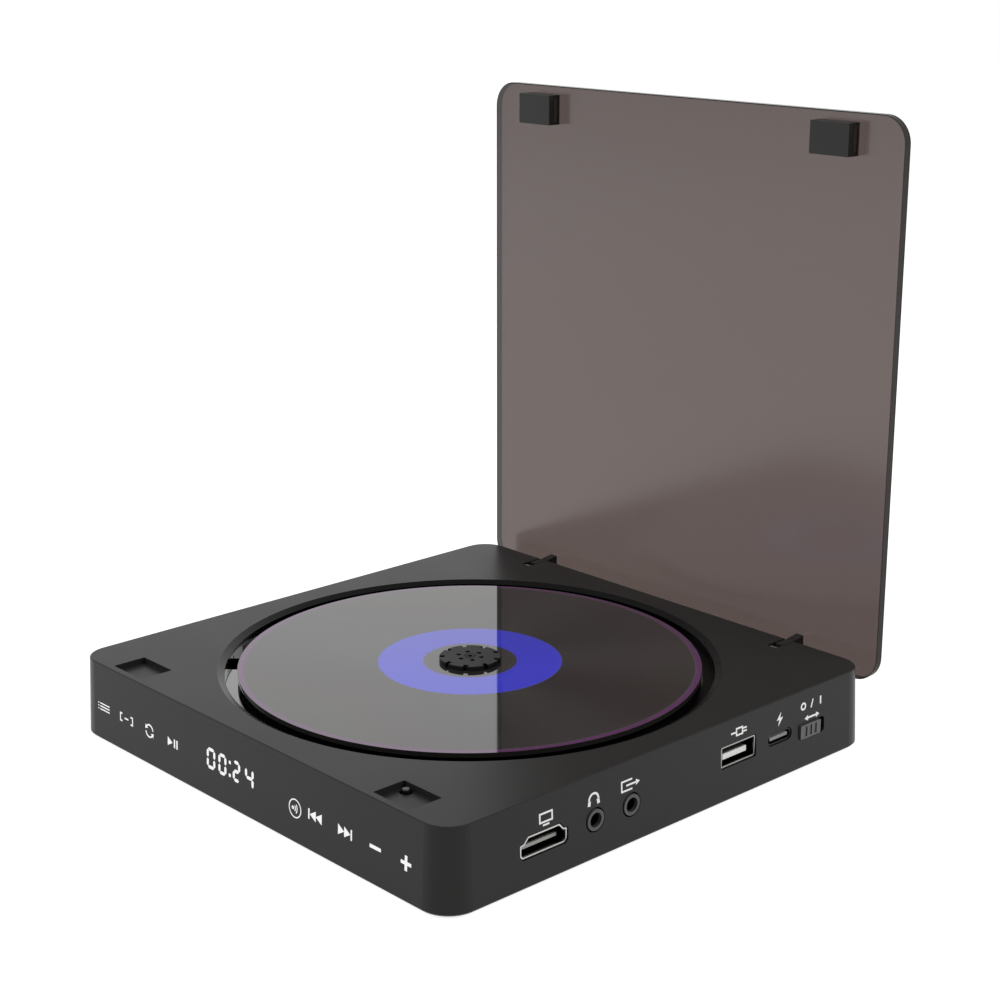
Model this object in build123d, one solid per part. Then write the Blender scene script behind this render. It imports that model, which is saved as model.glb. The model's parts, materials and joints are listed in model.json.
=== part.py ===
from build123d import *
import math
import os

# All sizes are in millimetres. The origin is on the standing plane under the middle of the case,
# +X is to the right of someone facing the front keys, +Y to the hinge side and +Z up.

# Disc, from which the case takes its size
disc_r = 60.0
disc_hole_r = 7.5
disc_t = 1.2
well_margin = 3.3  # between the disc and the wall of its well
side_margin = 9.2  # between the well and the sides of the case
depth_less = 0.6
well_r = disc_r + well_margin

# Case
case_w = 2 * (well_r + side_margin)
case_d = case_w - depth_less
right_x = case_w / 2
rear_y = case_d / 2
front_y = -rear_y
case_top = 21.5
case_low = 0.7
corner_r = 7.0
draft_rate = 0.0455  # outward run of the side walls for each millimetre down
low_edge = 0.5
top_edge = 0.2
wall = 2.0
roof = 1.8
plate_t = 2.0
plate_gap = 0.1
seat_gap = 0.1  # between a cut-out and the fixed piece that sits in it
run_gap = 0.05  # radial, between a pin and what turns or slides on it
roof_under = case_top - roof
plate_top = case_low + plate_t

# Feet and case screws
foot_r = 4.5
foot_inset = (15.5, 16.2)
foot_x = right_x - foot_inset[0]
foot_y = rear_y - foot_inset[1]
foot_sink = 0.5
boss_inset = (8.0, 7.7)
boss_x = right_x - boss_inset[0]
boss_y = rear_y - boss_inset[1]
boss_r = 3.2
case_screw_r = 1.0
case_screw_len = 8.0
case_head_r = 1.9
case_head_t = 1.1
case_head_sink = 0.2
vent_count = 5
vent_pitch = 4.0
vent_size = (18.0, 1.4)
vent_inset = 26.5
vent_first_y = -8.0

# Place of the disc
disc_sink = 0.2  # disc top below the case top
stack_ring_r = 17.0
stack_ring_t = 0.15
disc_high = case_top - disc_sink
disc_low = disc_high - disc_t

# Disc well
well_rim_w = 1.8
well_rim_r = well_r + well_rim_w
well_rim_t = 0.9
well_floor = case_top - 3.3
well_floor_t = 1.4
well_wall = 1.2
flange_w = 5.2
flange_r = well_r + flange_w
flange_t = 1.2
well_screw_r = 0.6
well_screw_out = 3.3
well_screw_at = well_r + well_screw_out
well_screw_angles = (20.0, 110.0, 200.0, 290.0)
well_under = well_floor - well_floor_t

# Finger pockets in the front corners of the top face, which take the lid blocks
pocket_inset = (13.7, 1.85)
pocket_size = (12.7, 9.15)
pocket_out_x = right_x - pocket_inset[0]
pocket_in_x = pocket_out_x - pocket_size[0]
pocket_front_y = front_y + pocket_inset[1]
pocket_back_y = pocket_front_y + pocket_size[1]
pocket_depth = 1.45
pocket_skin = 1.2
pocket_floor = case_top - pocket_depth
pocket_under = pocket_floor - pocket_skin

# Lid hinge
pivot_inset = 1.875
pivot_y = rear_y - pivot_inset
pivot_z = 18.125
arm_inset = 25.35
arm_x = right_x - arm_inset
arm_w = 2.4
barrel_r = 1.7
hinge_pin_r = 0.8
slot_w = 3.2
slot_front = 5.625
slot_front_y = pivot_y - slot_front
slot_low = 15.0
ear_w = 2.55
ear_front = 2.5
ear_front_y = pivot_y - ear_front
leaf_t = 0.4
leaf_lip = 1.3
strap_reach = 2.6  # of the hinge arm in front of its pivot
strap_top = 3.3
strap_t = 1.5

# Lid, drawn standing open: its height there is its depth when shut
lid_w = case_w
lid_t = 2.0
lid_corner_r = 7.0
lid_face_out = 4.3
lid_face_y = rear_y + lid_face_out
lid_low = 14.7
lid_overhang = 0.05
lid_high = pivot_z + pivot_y - front_y + lid_overhang
block_gap = 0.3
block_end_gap = 0.45
block_low = pivot_z + pivot_y - pocket_back_y + block_end_gap
block_high = pivot_z + pivot_y - pocket_front_y - block_end_gap
block_t = 4.1
magnet_t = 1.25
magnet_back = 0.75  # plastic between the magnet and the lid
magnet_h = 6.5
magnet_sink = 0.1
keeper_inset = 4.3
keeper_mid_x = pocket_out_x - keeper_inset
keeper_w = 6.6
keeper_d = 7.0
keeper_t = 0.9

# Lid plunger and its switch
plunger_inset = (2.6, 1.75)
plunger_x = pocket_in_x + plunger_inset[0]
plunger_y = pocket_back_y - plunger_inset[1]
plunger_r = 1.0
plunger_proud = 0.9
plunger_collar_r = 1.75
plunger_collar_t = 0.6
plunger_boss_r = 2.4
plunger_boss_low = 14.3
plunger_dish_r = 1.6
plunger_dish_t = 0.8
collar_gap = 0.3
switch_top = 11.6
switch_h = 3.6
switch_w = 5.2
spring_r = 1.4
spring_wire_r = 0.14
spring_turns = 3

# Loader. Its pieces are laid out with the pickup travelling along -X, then turned by pickup_turn.
pickup_turn = 42.3
deck_low = 14.0
deck_t = 1.2
deck_high = deck_low + deck_t
deck_x = (-disc_r, 18.0)
arm_out = 21.3
deck_y = (-arm_out - 14.7, 29.0)
loader_reach = disc_r + 9.0
deck_tab_x = -loader_reach
deck_tab_half = 22.5
deck_open_end = 3.0
deck_open_x = (deck_open_end - loader_reach, -11.5)
deck_open_half = 16.0
damper_inset = 8.0
damper_x = damper_inset - disc_r
damper_y = -arm_out - 10.7
damper_places = ((damper_x, damper_y), (10.0, damper_y), (damper_x, 25.5), (10.0, 25.5))
damper_r = 3.2
damper_neck_r = 2.2
post_r = 1.6
deck_screw_r = 0.7
deck_screw_head_r = 2.2
deck_screw_head_t = 0.8
damper_low = deck_low - 1.4
rail_y = 19.0
rail_z = 11.5
rail_r = 1.5
rail_x = (-loader_reach, -8.0)
clamp_t = 3.0
clamp_half = 2.2

# Spindle
motor_r = 10.5
motor_low = 7.3
motor_boss_r = 3.8
motor_boss_top = 15.4
shaft_r = 1.0
shaft_top = 20.6
table_r = 13.5
table_t = 2.5
table_collar_r = 3.0
table_collar_low = 15.8
pad_t = 0.4
pad_edge = 0.3
pad_w = 4.2
pad_out_r = table_r - pad_edge
pad_in_r = pad_out_r - pad_w
table_top = disc_low - pad_t
hub_clearance = 0.15
hub_core_r = disc_hole_r - hub_clearance
hub_lip_r = 8.0
hub_lip_gap = 0.05
hub_top = case_top + 1.0
hub_edge = 0.15
hub_petals = 9
hub_slit_w = 1.25
hub_slit_in_r = 6.6
hub_turn = 29.2
hub_holes = 6
hub_hole_at = 3.1
hub_hole_r = 0.65
hub_ring_r = 1.5
hub_ring_w = 0.3
hub_ring_t = 0.2
spindle_hole_r = table_r + 1.0

# Pickup
lens_x = -23.5
lens_edge = 2.0
lens_travel = disc_r - lens_edge + lens_x
pickup_slot_half = 11.0
pickup_slot_x = (damper_x, -13.0)
lens_slot_half = 4.0
sled_x = (-9.0, 9.0)
sled_half = 14.0
sled_z = (8.6, 13.6)
arm_span_x = (-6.0, 12.0)
arm_in = 17.0
arm_z = (9.6, 13.4)
cover_x = (-6.5, 8.0)
cover_half = 11.5
cover_top = 16.4
cover_t = 0.5
lens_post_r = 3.4
lens_post_gap = 0.35
lens_post_z = (14.4, 18.3)
lens_r = 2.3
lens_top = 18.6
screw_out = 3.7
screw_y = -arm_out - screw_out
screw_z = 10.0
screw_r = 1.4
screw_end_r = 0.7
screw_inset = 7.0
screw_end_inset = 4.5
screw_x = (screw_inset - loader_reach, -3.4)
screw_end_x = (screw_end_inset - loader_reach, 5.0)
screw_groove_pitch = 3.0
screw_groove_t = 0.8
screw_core_r = 1.1
sled_motor_r = 4.0
sled_motor_x = (-3.0, 11.0)
nut_x = (-27.0, -20.0)
sled_bore_x = (-loader_reach, 0.0)
coil_top = 15.4

# Main board and what stands on it
board_inset = (2.9, 12.7)
board_w = 36.6
board_x = (right_x - board_inset[0] - board_w, right_x - board_inset[0])
board_y = (front_y + board_inset[1], rear_y - board_inset[1])
board_low = 5.2
board_t = 1.2
board_top = board_low + board_t
board_screw_places = (
    (board_x[0] + 4.0, board_y[0] + 5.5),
    (board_x[0] + 4.0, board_y[1] - 5.5),
    (board_x[1] - 7.6, board_y[0] + 3.5),
    (board_x[1] - 7.6, 3.0),
)
board_post_r = 2.4
board_screw_r = 0.8
board_head_r = 1.8
board_head_t = 0.9
chip_x = board_x[0] + 14.0
chip_y = -8.0
chip_side = 14.0
chip_t = 1.4
spreader_t = 1.0
small_chips = (  # x, y, width, depth
    (board_x[0] + 11.0, board_y[0] + 29.5, 9.0, 13.0),
    (board_x[0] + 15.0, board_y[1] - 41.5, 8.0, 12.0),
    (board_x[0] + 11.0, board_y[1] - 21.5, 7.0, 7.0),
)
small_chip_t = 1.1
cap_places = (
    (board_x[0] + 6.0, board_y[0] + 15.5),
    (board_x[0] + 13.0, board_y[0] + 13.5),
    (board_x[0] + 20.0, board_y[0] + 15.5),
    (board_x[0] + 19.0, board_y[1] - 11.5),
    (board_x[0] + 12.0, board_y[1] - 11.5),
)
cap_r = 2.5
cap_h = 5.4

# Battery
battery_inset = (6.5, 14.2)
battery_side = 46.0
battery_x = (battery_inset[0] - right_x, battery_inset[0] - right_x + battery_side)
battery_y = (rear_y - battery_inset[1] - battery_side, rear_y - battery_inset[1])
battery_t = 4.8
tape_t = 0.2
tape_inset = 6.0
battery_edge_r = 1.5

# Pieces behind the front wall
touch_inset = (8.5, 3.5)
touch_x = (touch_inset[0] - right_x, right_x - touch_inset[0])
touch_back_y = front_y + touch_inset[1]
touch_t = 1.2
touch_z = (plate_top, 16.5)
rib_xs = (-52.0, -24.0, 26.0, 60.0)
rib_half = 2.0
rib_t = 1.2
rib_h = 3.0
left_pads = (11.8, 22.2, 32.7, 43.1)  # from the left side
right_pads = (44.5, 33.6, 23.0, 12.5)  # from the right side
pad_xs = [inset - right_x for inset in left_pads] + [right_x - inset for inset in right_pads]
pad_size = (6.0, 7.0)
pad_film = 0.1
key_z = 10.0
display_x = (-17.5, 7.5)
display_z = (5.5, 16.0)
display_t = 3.2
receiver_x = 20.5
receiver_size = (5.0, 4.0, 6.0)
receiver_dome_r = 1.5
ribbon_x = (board_x[0] + 5.0, board_x[0] + 17.0)
ribbon_t = 0.15
ribbon_back_y = board_y[0] + 1.5

# Right side ports: outlines are in y and z
video_inset = 28.575
video_y = front_y + video_inset
video_outline = (  # y from the middle of the port, z from the table
    (7.175, 8.7),
    (7.175, 11.3),
    (6.175, 11.5),
    (4.875, 12.9),
    (-4.775, 12.9),
    (-6.075, 11.5),
    (-7.175, 11.3),
    (-7.175, 8.7),
    (-6.475, 7.95),
    (6.475, 7.95),
)
port_metal = 0.35
port_gap = 0.25  # between a port shell and its opening
video_x = (right_x - 11.5, right_x + 0.25)
video_tongue_y = (video_y - 5.475, video_y + 5.525)
video_tongue_z = (9.25, 10.05)
video_recess = 1.75
jack_z = 10.35
jack_insets = (44.6, 56.45)
jack_ys = [front_y + inset for inset in jack_insets]
jack_body = (right_x - 15.0, right_x - 2.3)
jack_half = 3.4
jack_collar_r = 2.6
jack_proud = 0.2
jack_gap = 0.4
jack_bore_r = 1.8
jack_depth = 14.0
host_y = (rear_y - 56.5, rear_y - 44.0)
host_z = (9.6, 15.0)
host_r = 0.5
host_x = (right_x - 13.0, right_x + 0.15)
host_tongue_y = (host_y[0] + 1.9, host_y[1] - 1.9)
host_tongue_z = (11.0, 12.4)
host_recess = 1.15
charge_inset = 34.8
charge_y = rear_y - charge_inset
charge_z = 11.75
charge_size = (8.9, 2.8)
charge_x = (right_x - 9.5, right_x + 0.15)
charge_metal = 0.25
charge_tongue = (6.6, 0.8)
charge_recess = 0.15
tongue_back = 2.0
riser_inset = 0.6
riser_half = 4.5
riser_margin = 1.0

# Power switch
window_y = (rear_y - 27.5, rear_y - 17.3)
window_z = (8.5, 12.65)
window_r = 1.0
knob_w = 7.8
knob_front_gap = 0.4
knob_side_gap = 0.25
knob_proud = 0.5
knob_in_x = right_x - 2.4
knob_travel = 1.7
knob_r = 0.45
knob_grooves = 3
knob_groove_pitch = 1.86
knob_groove = (1.0, 2.65, 0.3)  # width, height, depth
stem_size = (4.0, 1.6)
stem_in_x = right_x - 5.1
switch_body_x = (right_x - 8.0, right_x - 2.7)
switch_body_y = (window_y[0] - 1.2, window_y[1] + 1.6)
switch_body_top = 13.6


def wall_x(z):
    """Half the outside width of the case at a height."""
    return right_x + (case_top - z) * draft_rate


def case_block(low, high, inset_low, inset_high):
    """A drafted block of the case between two heights, set in from its outside."""
    rims = []
    for z, inset in ((low, inset_low), (high, inset_high)):
        out = (case_top - z) * draft_rate - inset
        rim = RectangleRounded(case_w + 2 * out, case_d + 2 * out, corner_r + out)
        rims.append(Plane.XY.offset(z) * rim)
    return loft(Sketch() + rims, ruled=True)


def block(xs, ys, zs):
    """A box from its low and high limits along each axis."""
    spans = (xs, ys, zs)
    middle = [(low + high) / 2 for low, high in spans]
    return Pos(*middle) * Box(*[high - low for low, high in spans])


def post(x, y, r, zs):
    """An upright cylinder."""
    return Pos(x, y, (zs[0] + zs[1]) / 2) * Cylinder(r, zs[1] - zs[0])


def bar(xs, y, z, r):
    """A cylinder along x."""
    return Pos((xs[0] + xs[1]) / 2, y, z) * Rot(0, 90, 0) * Cylinder(r, xs[1] - xs[0])


def bar_y(x, ys, z, r):
    """A cylinder along y."""
    return Pos(x, (ys[0] + ys[1]) / 2, z) * Rot(90, 0, 0) * Cylinder(r, ys[1] - ys[0])


def along_x(outline, xs):
    """An outline drawn in y and z, carried from one x to another."""
    return extrude(Plane.YZ.offset(xs[0]) * outline, xs[1] - xs[0])


def turned(*points):
    """A ring made by turning points in radius and height about the z axis."""
    return revolve(Plane.XZ * Polygon(*points, align=None), Axis.Z)


def obround(size):
    """A slot outline of a whole width and height."""
    return RectangleRounded(size[0], size[1], size[1] / 2 - 0.001)


def rounded(ys, zs, r):
    """A rounded rectangle in y and z from its limits."""
    outline = RectangleRounded(ys[1] - ys[0], zs[1] - zs[0], r)
    return Pos(sum(ys) / 2, sum(zs) / 2) * outline


def loader(shape):
    """Turn a loader piece from its own layout into the case."""
    return Rot(0, 0, pickup_turn) * shape


nodes = {}

# Port outlines, made once for the ports and for the cut-outs around them
video_face = Polygon(*[(video_y + y, z) for y, z in video_outline], align=None)
host_face = rounded(host_y, host_z, host_r)
charge_face = Pos(charge_y, charge_z) * obround(charge_size)

# Top shell
shell = case_block(case_low, case_low + low_edge, low_edge, 0)
shell += case_block(case_low + low_edge, case_top - top_edge, 0, 0)
shell += case_block(case_top - top_edge, case_top, 0, top_edge)
shell -= case_block(case_low - 1, roof_under, wall, wall)
shell -= turned(
    (0, roof_under - 1),
    (well_r, roof_under - 1),
    (well_r, case_top - well_rim_t),
    (well_rim_r, case_top),
    (well_rim_r, case_top + 1),
    (0, case_top + 1),
)
for side in (-1, 1):
    pocket_x = sorted((side * pocket_in_x, side * pocket_out_x))
    tray_x = (pocket_x[0] - pocket_skin, pocket_x[1] + pocket_skin)
    tray_y = (pocket_front_y, pocket_back_y + pocket_skin)
    shell += block(tray_x, tray_y, (pocket_under, roof_under))
    shell -= block(pocket_x, (pocket_front_y, pocket_back_y), (pocket_floor, case_top + 1))
    slot_x = (side * arm_x - slot_w / 2, side * arm_x + slot_w / 2)
    ear_x = (slot_x[0] - ear_w, slot_x[1] + ear_w)
    shell += block(ear_x, (ear_front_y, pivot_y + 0.8), (slot_low, roof_under))
    shell -= block(slot_x, (slot_front_y, case_d), (slot_low, case_top + 1))
    shell -= bar(ear_x, pivot_y, pivot_z, hinge_pin_r)
    for end in (-1, 1):
        shell += post(side * boss_x, end * boss_y, boss_r, (plate_top, roof_under))
        screw_span = (plate_top - 1, plate_top + case_screw_len)
        shell -= post(side * boss_x, end * boss_y, case_screw_r + seat_gap / 5, screw_span)
for angle in well_screw_angles:
    x = well_screw_at * math.cos(math.radians(angle))
    y = well_screw_at * math.sin(math.radians(angle))
    shell -= post(x, y, well_screw_r + seat_gap / 5, (roof_under - 1, roof_under + 1.1))
shell += post(plunger_x, plunger_y, plunger_boss_r, (plunger_boss_low, pocket_under))
shell -= post(plunger_x, plunger_y, plunger_dish_r, (pocket_floor - plunger_dish_t, pocket_floor + 1))
shell -= post(plunger_x, plunger_y, plunger_r + run_gap, (plunger_boss_low - 1, case_top))
cut_x = (wall_x(case_top) - 2 * wall, wall_x(case_low) + wall)
for face in (video_face, host_face, charge_face):
    shell -= along_x(offset(face, port_gap), cut_x)
for y in jack_ys:
    shell -= bar(cut_x, y, jack_z, jack_collar_r + jack_gap)
shell -= along_x(rounded(window_y, window_z, window_r), cut_x)
nodes["top_shell"] = [shell]

# Bottom plate
plate = case_block(case_low, plate_top, wall + plate_gap, wall + plate_gap)
foot_places = [(i * foot_x, j * foot_y) for i in (-1, 1) for j in (-1, 1)]
boss_places = [(i * boss_x, j * boss_y) for i in (-1, 1) for j in (-1, 1)]
for x, y in foot_places:
    plate -= post(x, y, foot_r + seat_gap, (case_low - 1, case_low + foot_sink))
for x, y in boss_places:
    head_top = case_low + case_head_sink + case_head_t
    plate -= post(x, y, case_head_r + seat_gap, (case_low - 1, head_top))
    plate -= post(x, y, case_screw_r + seat_gap, (case_low, plate_top + 1))
for x, y in board_screw_places:
    plate += post(x, y, board_post_r, (plate_top - 0.2, board_low))
    plate -= post(x, y, board_screw_r + seat_gap / 5, (plate_top, board_low + 1))
for i in range(vent_count):
    y = vent_first_y + i * vent_pitch
    vent_mid_x = right_x - vent_inset
    vent_x = (vent_mid_x - vent_size[0] / 2, vent_mid_x + vent_size[0] / 2)
    vent_y = (y - vent_size[1] / 2, y + vent_size[1] / 2)
    plate -= block(vent_x, vent_y, (case_low - 1, plate_top + 1))
rib_span = (plate_top - 0.2, plate_top + rib_h)
for x in rib_xs:
    plate += block((x - rib_half, x + rib_half), (touch_back_y, touch_back_y + rib_t), rib_span)
nodes["bottom_plate"] = [plate]
nodes["rubber_feet"] = [post(x, y, foot_r, (0, case_low + foot_sink)) for x, y in foot_places]
case_screws = []
for x, y in boss_places:
    head_low = case_low + case_head_sink
    screw = post(x, y, case_head_r, (head_low, head_low + case_head_t))
    screw += post(x, y, case_screw_r, (head_low, plate_top + case_screw_len - 1))
    screw -= block((x - 1.3, x + 1.3), (y - 0.2, y + 0.2), (head_low - 1, head_low + 0.5))
    screw -= block((x - 0.2, x + 0.2), (y - 1.3, y + 1.3), (head_low - 1, head_low + 0.5))
    case_screws.append(screw)
nodes["case_screws"] = case_screws

# Disc well
well = turned(
    (spindle_hole_r, well_under),
    (well_r + well_wall, well_under),
    (well_r + well_wall, roof_under - flange_t),
    (flange_r, roof_under - flange_t),
    (flange_r, roof_under),
    (well_r, roof_under),
    (well_r, well_floor),
    (spindle_hole_r, well_floor),
)
slot_cut = block(pickup_slot_x, (-pickup_slot_half, pickup_slot_half), (well_under - 1, well_floor + 1))
slot_cut += block(
    (-well_r, pickup_slot_x[1]), (-lens_slot_half, lens_slot_half), (well_under - 1, well_floor + 1)
)
well -= loader(slot_cut)
for x, y in damper_places:
    well += loader(post(x, y, post_r, (damper_low, well_under + 0.2)))
    well -= loader(post(x, y, deck_screw_r + seat_gap / 5, (damper_low - 1, well_under - 0.4)))
well_screws = []
for angle in well_screw_angles:
    x = well_screw_at * math.cos(math.radians(angle))
    y = well_screw_at * math.sin(math.radians(angle))
    well -= post(x, y, well_screw_r + seat_gap, (roof_under - flange_t - 1, roof_under + 1))
    screw = post(x, y, well_screw_r, (roof_under - flange_t, roof_under + 1.0))
    screw += post(x, y, 2 * well_screw_r, (roof_under - flange_t - 0.8, roof_under - flange_t))
    well_screws.append(screw)
nodes["disc_well"] = [well]
nodes["well_screws"] = well_screws

# Lid: it is drawn standing open
panel = Plane.XZ.offset(-lid_face_y) * Pos(0, (lid_low + lid_high) / 2)
panel = extrude(panel * RectangleRounded(lid_w, lid_high - lid_low, lid_corner_r), -lid_t)
nodes["lid_panel"] = [panel]
magnets = []
keepers = []
pins = []
leaves = []
block_mid = (block_low + block_high) / 2
for side, name in ((-1, "left"), (1, "right")):
    in_x = pocket_in_x + block_gap
    out_x = pocket_out_x - block_gap
    spans = sorted((side * in_x, side * out_x))
    lid_block = block(spans, (lid_face_y - block_t, lid_face_y), (block_low, block_high))
    magnet_y = (lid_face_y - magnet_back - magnet_t, lid_face_y - magnet_back)
    magnet_z = (block_mid - magnet_h / 2, block_mid + magnet_h / 2)
    window = block((spans[0] - 1, spans[1] + 1), magnet_y, magnet_z)
    lid_block -= offset(window, seat_gap)
    nodes["lid_block_" + name] = [lid_block]
    magnets.append(block((spans[0] + magnet_sink, spans[1] - magnet_sink), magnet_y, magnet_z))
    keeper_x = (side * keeper_mid_x - keeper_w / 2, side * keeper_mid_x + keeper_w / 2)
    keeper_mid_y = (pocket_front_y + pocket_back_y) / 2
    keeper_y = (keeper_mid_y - keeper_d / 2, keeper_mid_y + keeper_d / 2)
    keepers.append(block(keeper_x, keeper_y, (pocket_under - keeper_t, pocket_under)))
    arm_span = (side * arm_x - arm_w / 2, side * arm_x + arm_w / 2)
    neck = Polygon(
        (lid_face_y, pivot_z + 0.75),
        (lid_face_y, pivot_z + 3.85),
        (pivot_y + 4.1, pivot_z + 3.55),
        (pivot_y + 2.1, pivot_z + strap_top),
        (pivot_y - strap_reach, pivot_z + strap_top),
        (pivot_y - strap_reach, pivot_z + strap_top - strap_t),
        (pivot_y - 1.2, pivot_z + 0.8),
        (pivot_y + 1.1, pivot_z - 1.2),
        (pivot_y + 2.7, pivot_z - 0.25),
        (pivot_y + 4.3, pivot_z + 0.45),
        align=None,
    )
    arm = along_x(neck, arm_span) + bar(arm_span, pivot_y, pivot_z, barrel_r)
    arm -= bar((arm_span[0] - 1, arm_span[1] + 1), pivot_y, pivot_z, hinge_pin_r + run_gap)
    nodes["hinge_arm_" + name] = [arm]
    pin_half = slot_w / 2 + ear_w
    pins.append(bar((side * arm_x - pin_half, side * arm_x + pin_half), pivot_y, pivot_z, hinge_pin_r))
    leaf_y = (slot_front_y, slot_front_y + leaf_t)
    leaf = block(arm_span, leaf_y, (slot_low + 1, case_top - 0.3))
    leaf += block(arm_span, (slot_front_y, slot_front_y + leaf_lip), (case_top - 0.3 - leaf_t, case_top - 0.3))
    leaves.append(leaf)
nodes["lid_magnets"] = magnets
nodes["keeper_plates"] = keepers
nodes["hinge_pins"] = pins
nodes["hinge_leaves"] = leaves

# Lid plunger, spring and switch
collar_high = plunger_boss_low - collar_gap
collar_low = collar_high - plunger_collar_t
stem_low = switch_top + 0.3
plunger = post(plunger_x, plunger_y, plunger_r, (stem_low, pocket_floor + plunger_proud))
plunger = fillet(plunger.edges().group_by(Axis.Z)[-1], 0.3)
plunger += post(plunger_x, plunger_y, plunger_collar_r, (collar_low, collar_high))
nodes["lid_plunger"] = [plunger]
spring_h = collar_low - switch_top - 2 * spring_wire_r - 0.02
coil = Helix(spring_h / spring_turns, spring_h, spring_r)
coil_start = Plane(origin=coil @ 0, z_dir=coil % 0)
spring = sweep(coil_start * Circle(spring_wire_r), path=coil)
spring = Pos(plunger_x, plunger_y, switch_top + spring_wire_r + 0.01) * spring
nodes["plunger_spring"] = [spring]
half = switch_w / 2
switch_low = switch_top - switch_h
switch_x = (plunger_x - half, plunger_x + half)
switch_y = (plunger_y - half, plunger_y + half)
lid_switch = block(switch_x, switch_y, (switch_low, switch_top))
for low in (switch_x[0], switch_x[1] - 0.6):
    lid_switch += block((low, low + 0.6), (plunger_y - 1, plunger_y + 1), (switch_top, plunger_boss_low))
lid_switch -= post(plunger_x, plunger_y, plunger_r + 0.2, (switch_top - 0.8, switch_top + 1))
nodes["lid_switch"] = [lid_switch]

# Loader deck with its rail clamps
deck = block(deck_x, deck_y, (deck_low, deck_high))
deck += block((deck_tab_x, deck_x[0]), (-deck_tab_half, deck_tab_half), (deck_low, deck_high))
deck -= block(deck_open_x, (-deck_open_half, deck_open_half), (deck_low - 1, deck_high + 1))
deck -= post(0, 0, motor_boss_r + seat_gap, (deck_low - 1, deck_high + 1))
for x, y in damper_places:
    deck -= post(x, y, damper_neck_r, (deck_low - 1, deck_high + 1))
clamp_z = (rail_z - clamp_half, deck_low)
for y in (-rail_y, rail_y):
    clamp_y = (y - clamp_half, y + clamp_half)
    deck += block((rail_x[0], rail_x[0] + clamp_t), clamp_y, clamp_z)
    deck += block((rail_x[1] - clamp_t, rail_x[1]), clamp_y, clamp_z)
    deck -= bar(rail_x, y, rail_z, rail_r)
end_block_x = (screw_end_x[0] - 0.6, screw_x[0] - 0.3)
end_block_y = (screw_y - 2.0, -deck_tab_half + 1)
deck += block(end_block_x, end_block_y, (screw_z - 2.0, deck_high))
deck -= bar((end_block_x[0] - 1, end_block_x[1] + 1), screw_y, screw_z, screw_end_r + run_gap)
nodes["loader_deck"] = [loader(deck)]
dampers = []
deck_screws = []
for x, y in damper_places:
    damper = post(x, y, damper_neck_r, (damper_low, well_under))
    damper += post(x, y, damper_r, (damper_low, deck_low))
    damper += post(x, y, damper_r, (deck_high, well_under))
    damper -= post(x, y, post_r, (damper_low - 1, well_under + 1))
    dampers.append(loader(damper))
    screw = post(x, y, deck_screw_r, (damper_low, well_under - 0.6))
    screw += post(x, y, deck_screw_head_r, (damper_low - deck_screw_head_t, damper_low))
    deck_screws.append(loader(screw))
nodes["deck_dampers"] = dampers
nodes["deck_screws"] = deck_screws
nodes["guide_rails"] = [loader(bar(rail_x, y, rail_z, rail_r)) for y in (-rail_y, rail_y)]

# Spindle motor, shaft, turntable and hub
motor = post(0, 0, motor_r, (motor_low, deck_low)) + post(0, 0, motor_boss_r, (deck_low, motor_boss_top))
motor -= post(0, 0, shaft_r + run_gap, (motor_low + 1, motor_boss_top + 1))
nodes["spindle_motor"] = [motor]
nodes["spindle_shaft"] = [post(0, 0, shaft_r, (motor_low + 1.1, shaft_top))]
table = post(0, 0, table_r, (table_top - table_t, table_top))
table += post(0, 0, table_collar_r, (table_collar_low, table_top - table_t))
table -= post(0, 0, shaft_r, (table_collar_low - 1, table_top + 1))
nodes["turntable"] = [table]
nodes["turntable_pad"] = [
    turned((pad_in_r, table_top), (pad_out_r, table_top), (pad_out_r, disc_low), (pad_in_r, disc_low))
]
lip_low = disc_high + hub_lip_gap
hub = turned(
    (0, table_top),
    (hub_core_r, table_top),
    (hub_core_r, lip_low),
    (hub_lip_r, lip_low),
    (hub_lip_r, hub_top - hub_edge),
    (hub_lip_r - hub_edge, hub_top),
    (0, hub_top),
)
for i in range(hub_petals):
    slit_z = (lip_low - 0.3, hub_top + 1)
    slit = block((hub_slit_in_r, hub_lip_r + 1), (-hub_slit_w / 2, hub_slit_w / 2), slit_z)
    hub -= Rot(0, 0, hub_turn + i * 360 / hub_petals) * slit
for i in range(hub_holes):
    hole = post(hub_hole_at, 0, hub_hole_r, (shaft_top, hub_top))
    hub -= Rot(0, 0, hub_turn + i * 360 / hub_holes) * hole
ring = post(0, 0, hub_ring_r, (hub_top - hub_ring_t, hub_top + 1))
hub -= ring - post(0, 0, hub_ring_r - hub_ring_w, (0, hub_top + 2))
hub -= post(0, 0, hub_hole_r, (shaft_top, hub_top + 1))
hub -= post(0, 0, shaft_r, (table_top - 1, shaft_top))
nodes["disc_hub"] = [hub]

# Disc
disc = post(0, 0, disc_r, (disc_low, disc_high)) - post(0, 0, disc_hole_r, (disc_low - 1, disc_high + 1))
disc -= turned(
    (stack_ring_r - 0.5, disc_low - 1),
    (stack_ring_r + 0.5, disc_low - 1),
    (stack_ring_r + 0.5, disc_low + stack_ring_t),
    (stack_ring_r - 0.5, disc_low + stack_ring_t),
)
nodes["disc"] = [disc]

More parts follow.
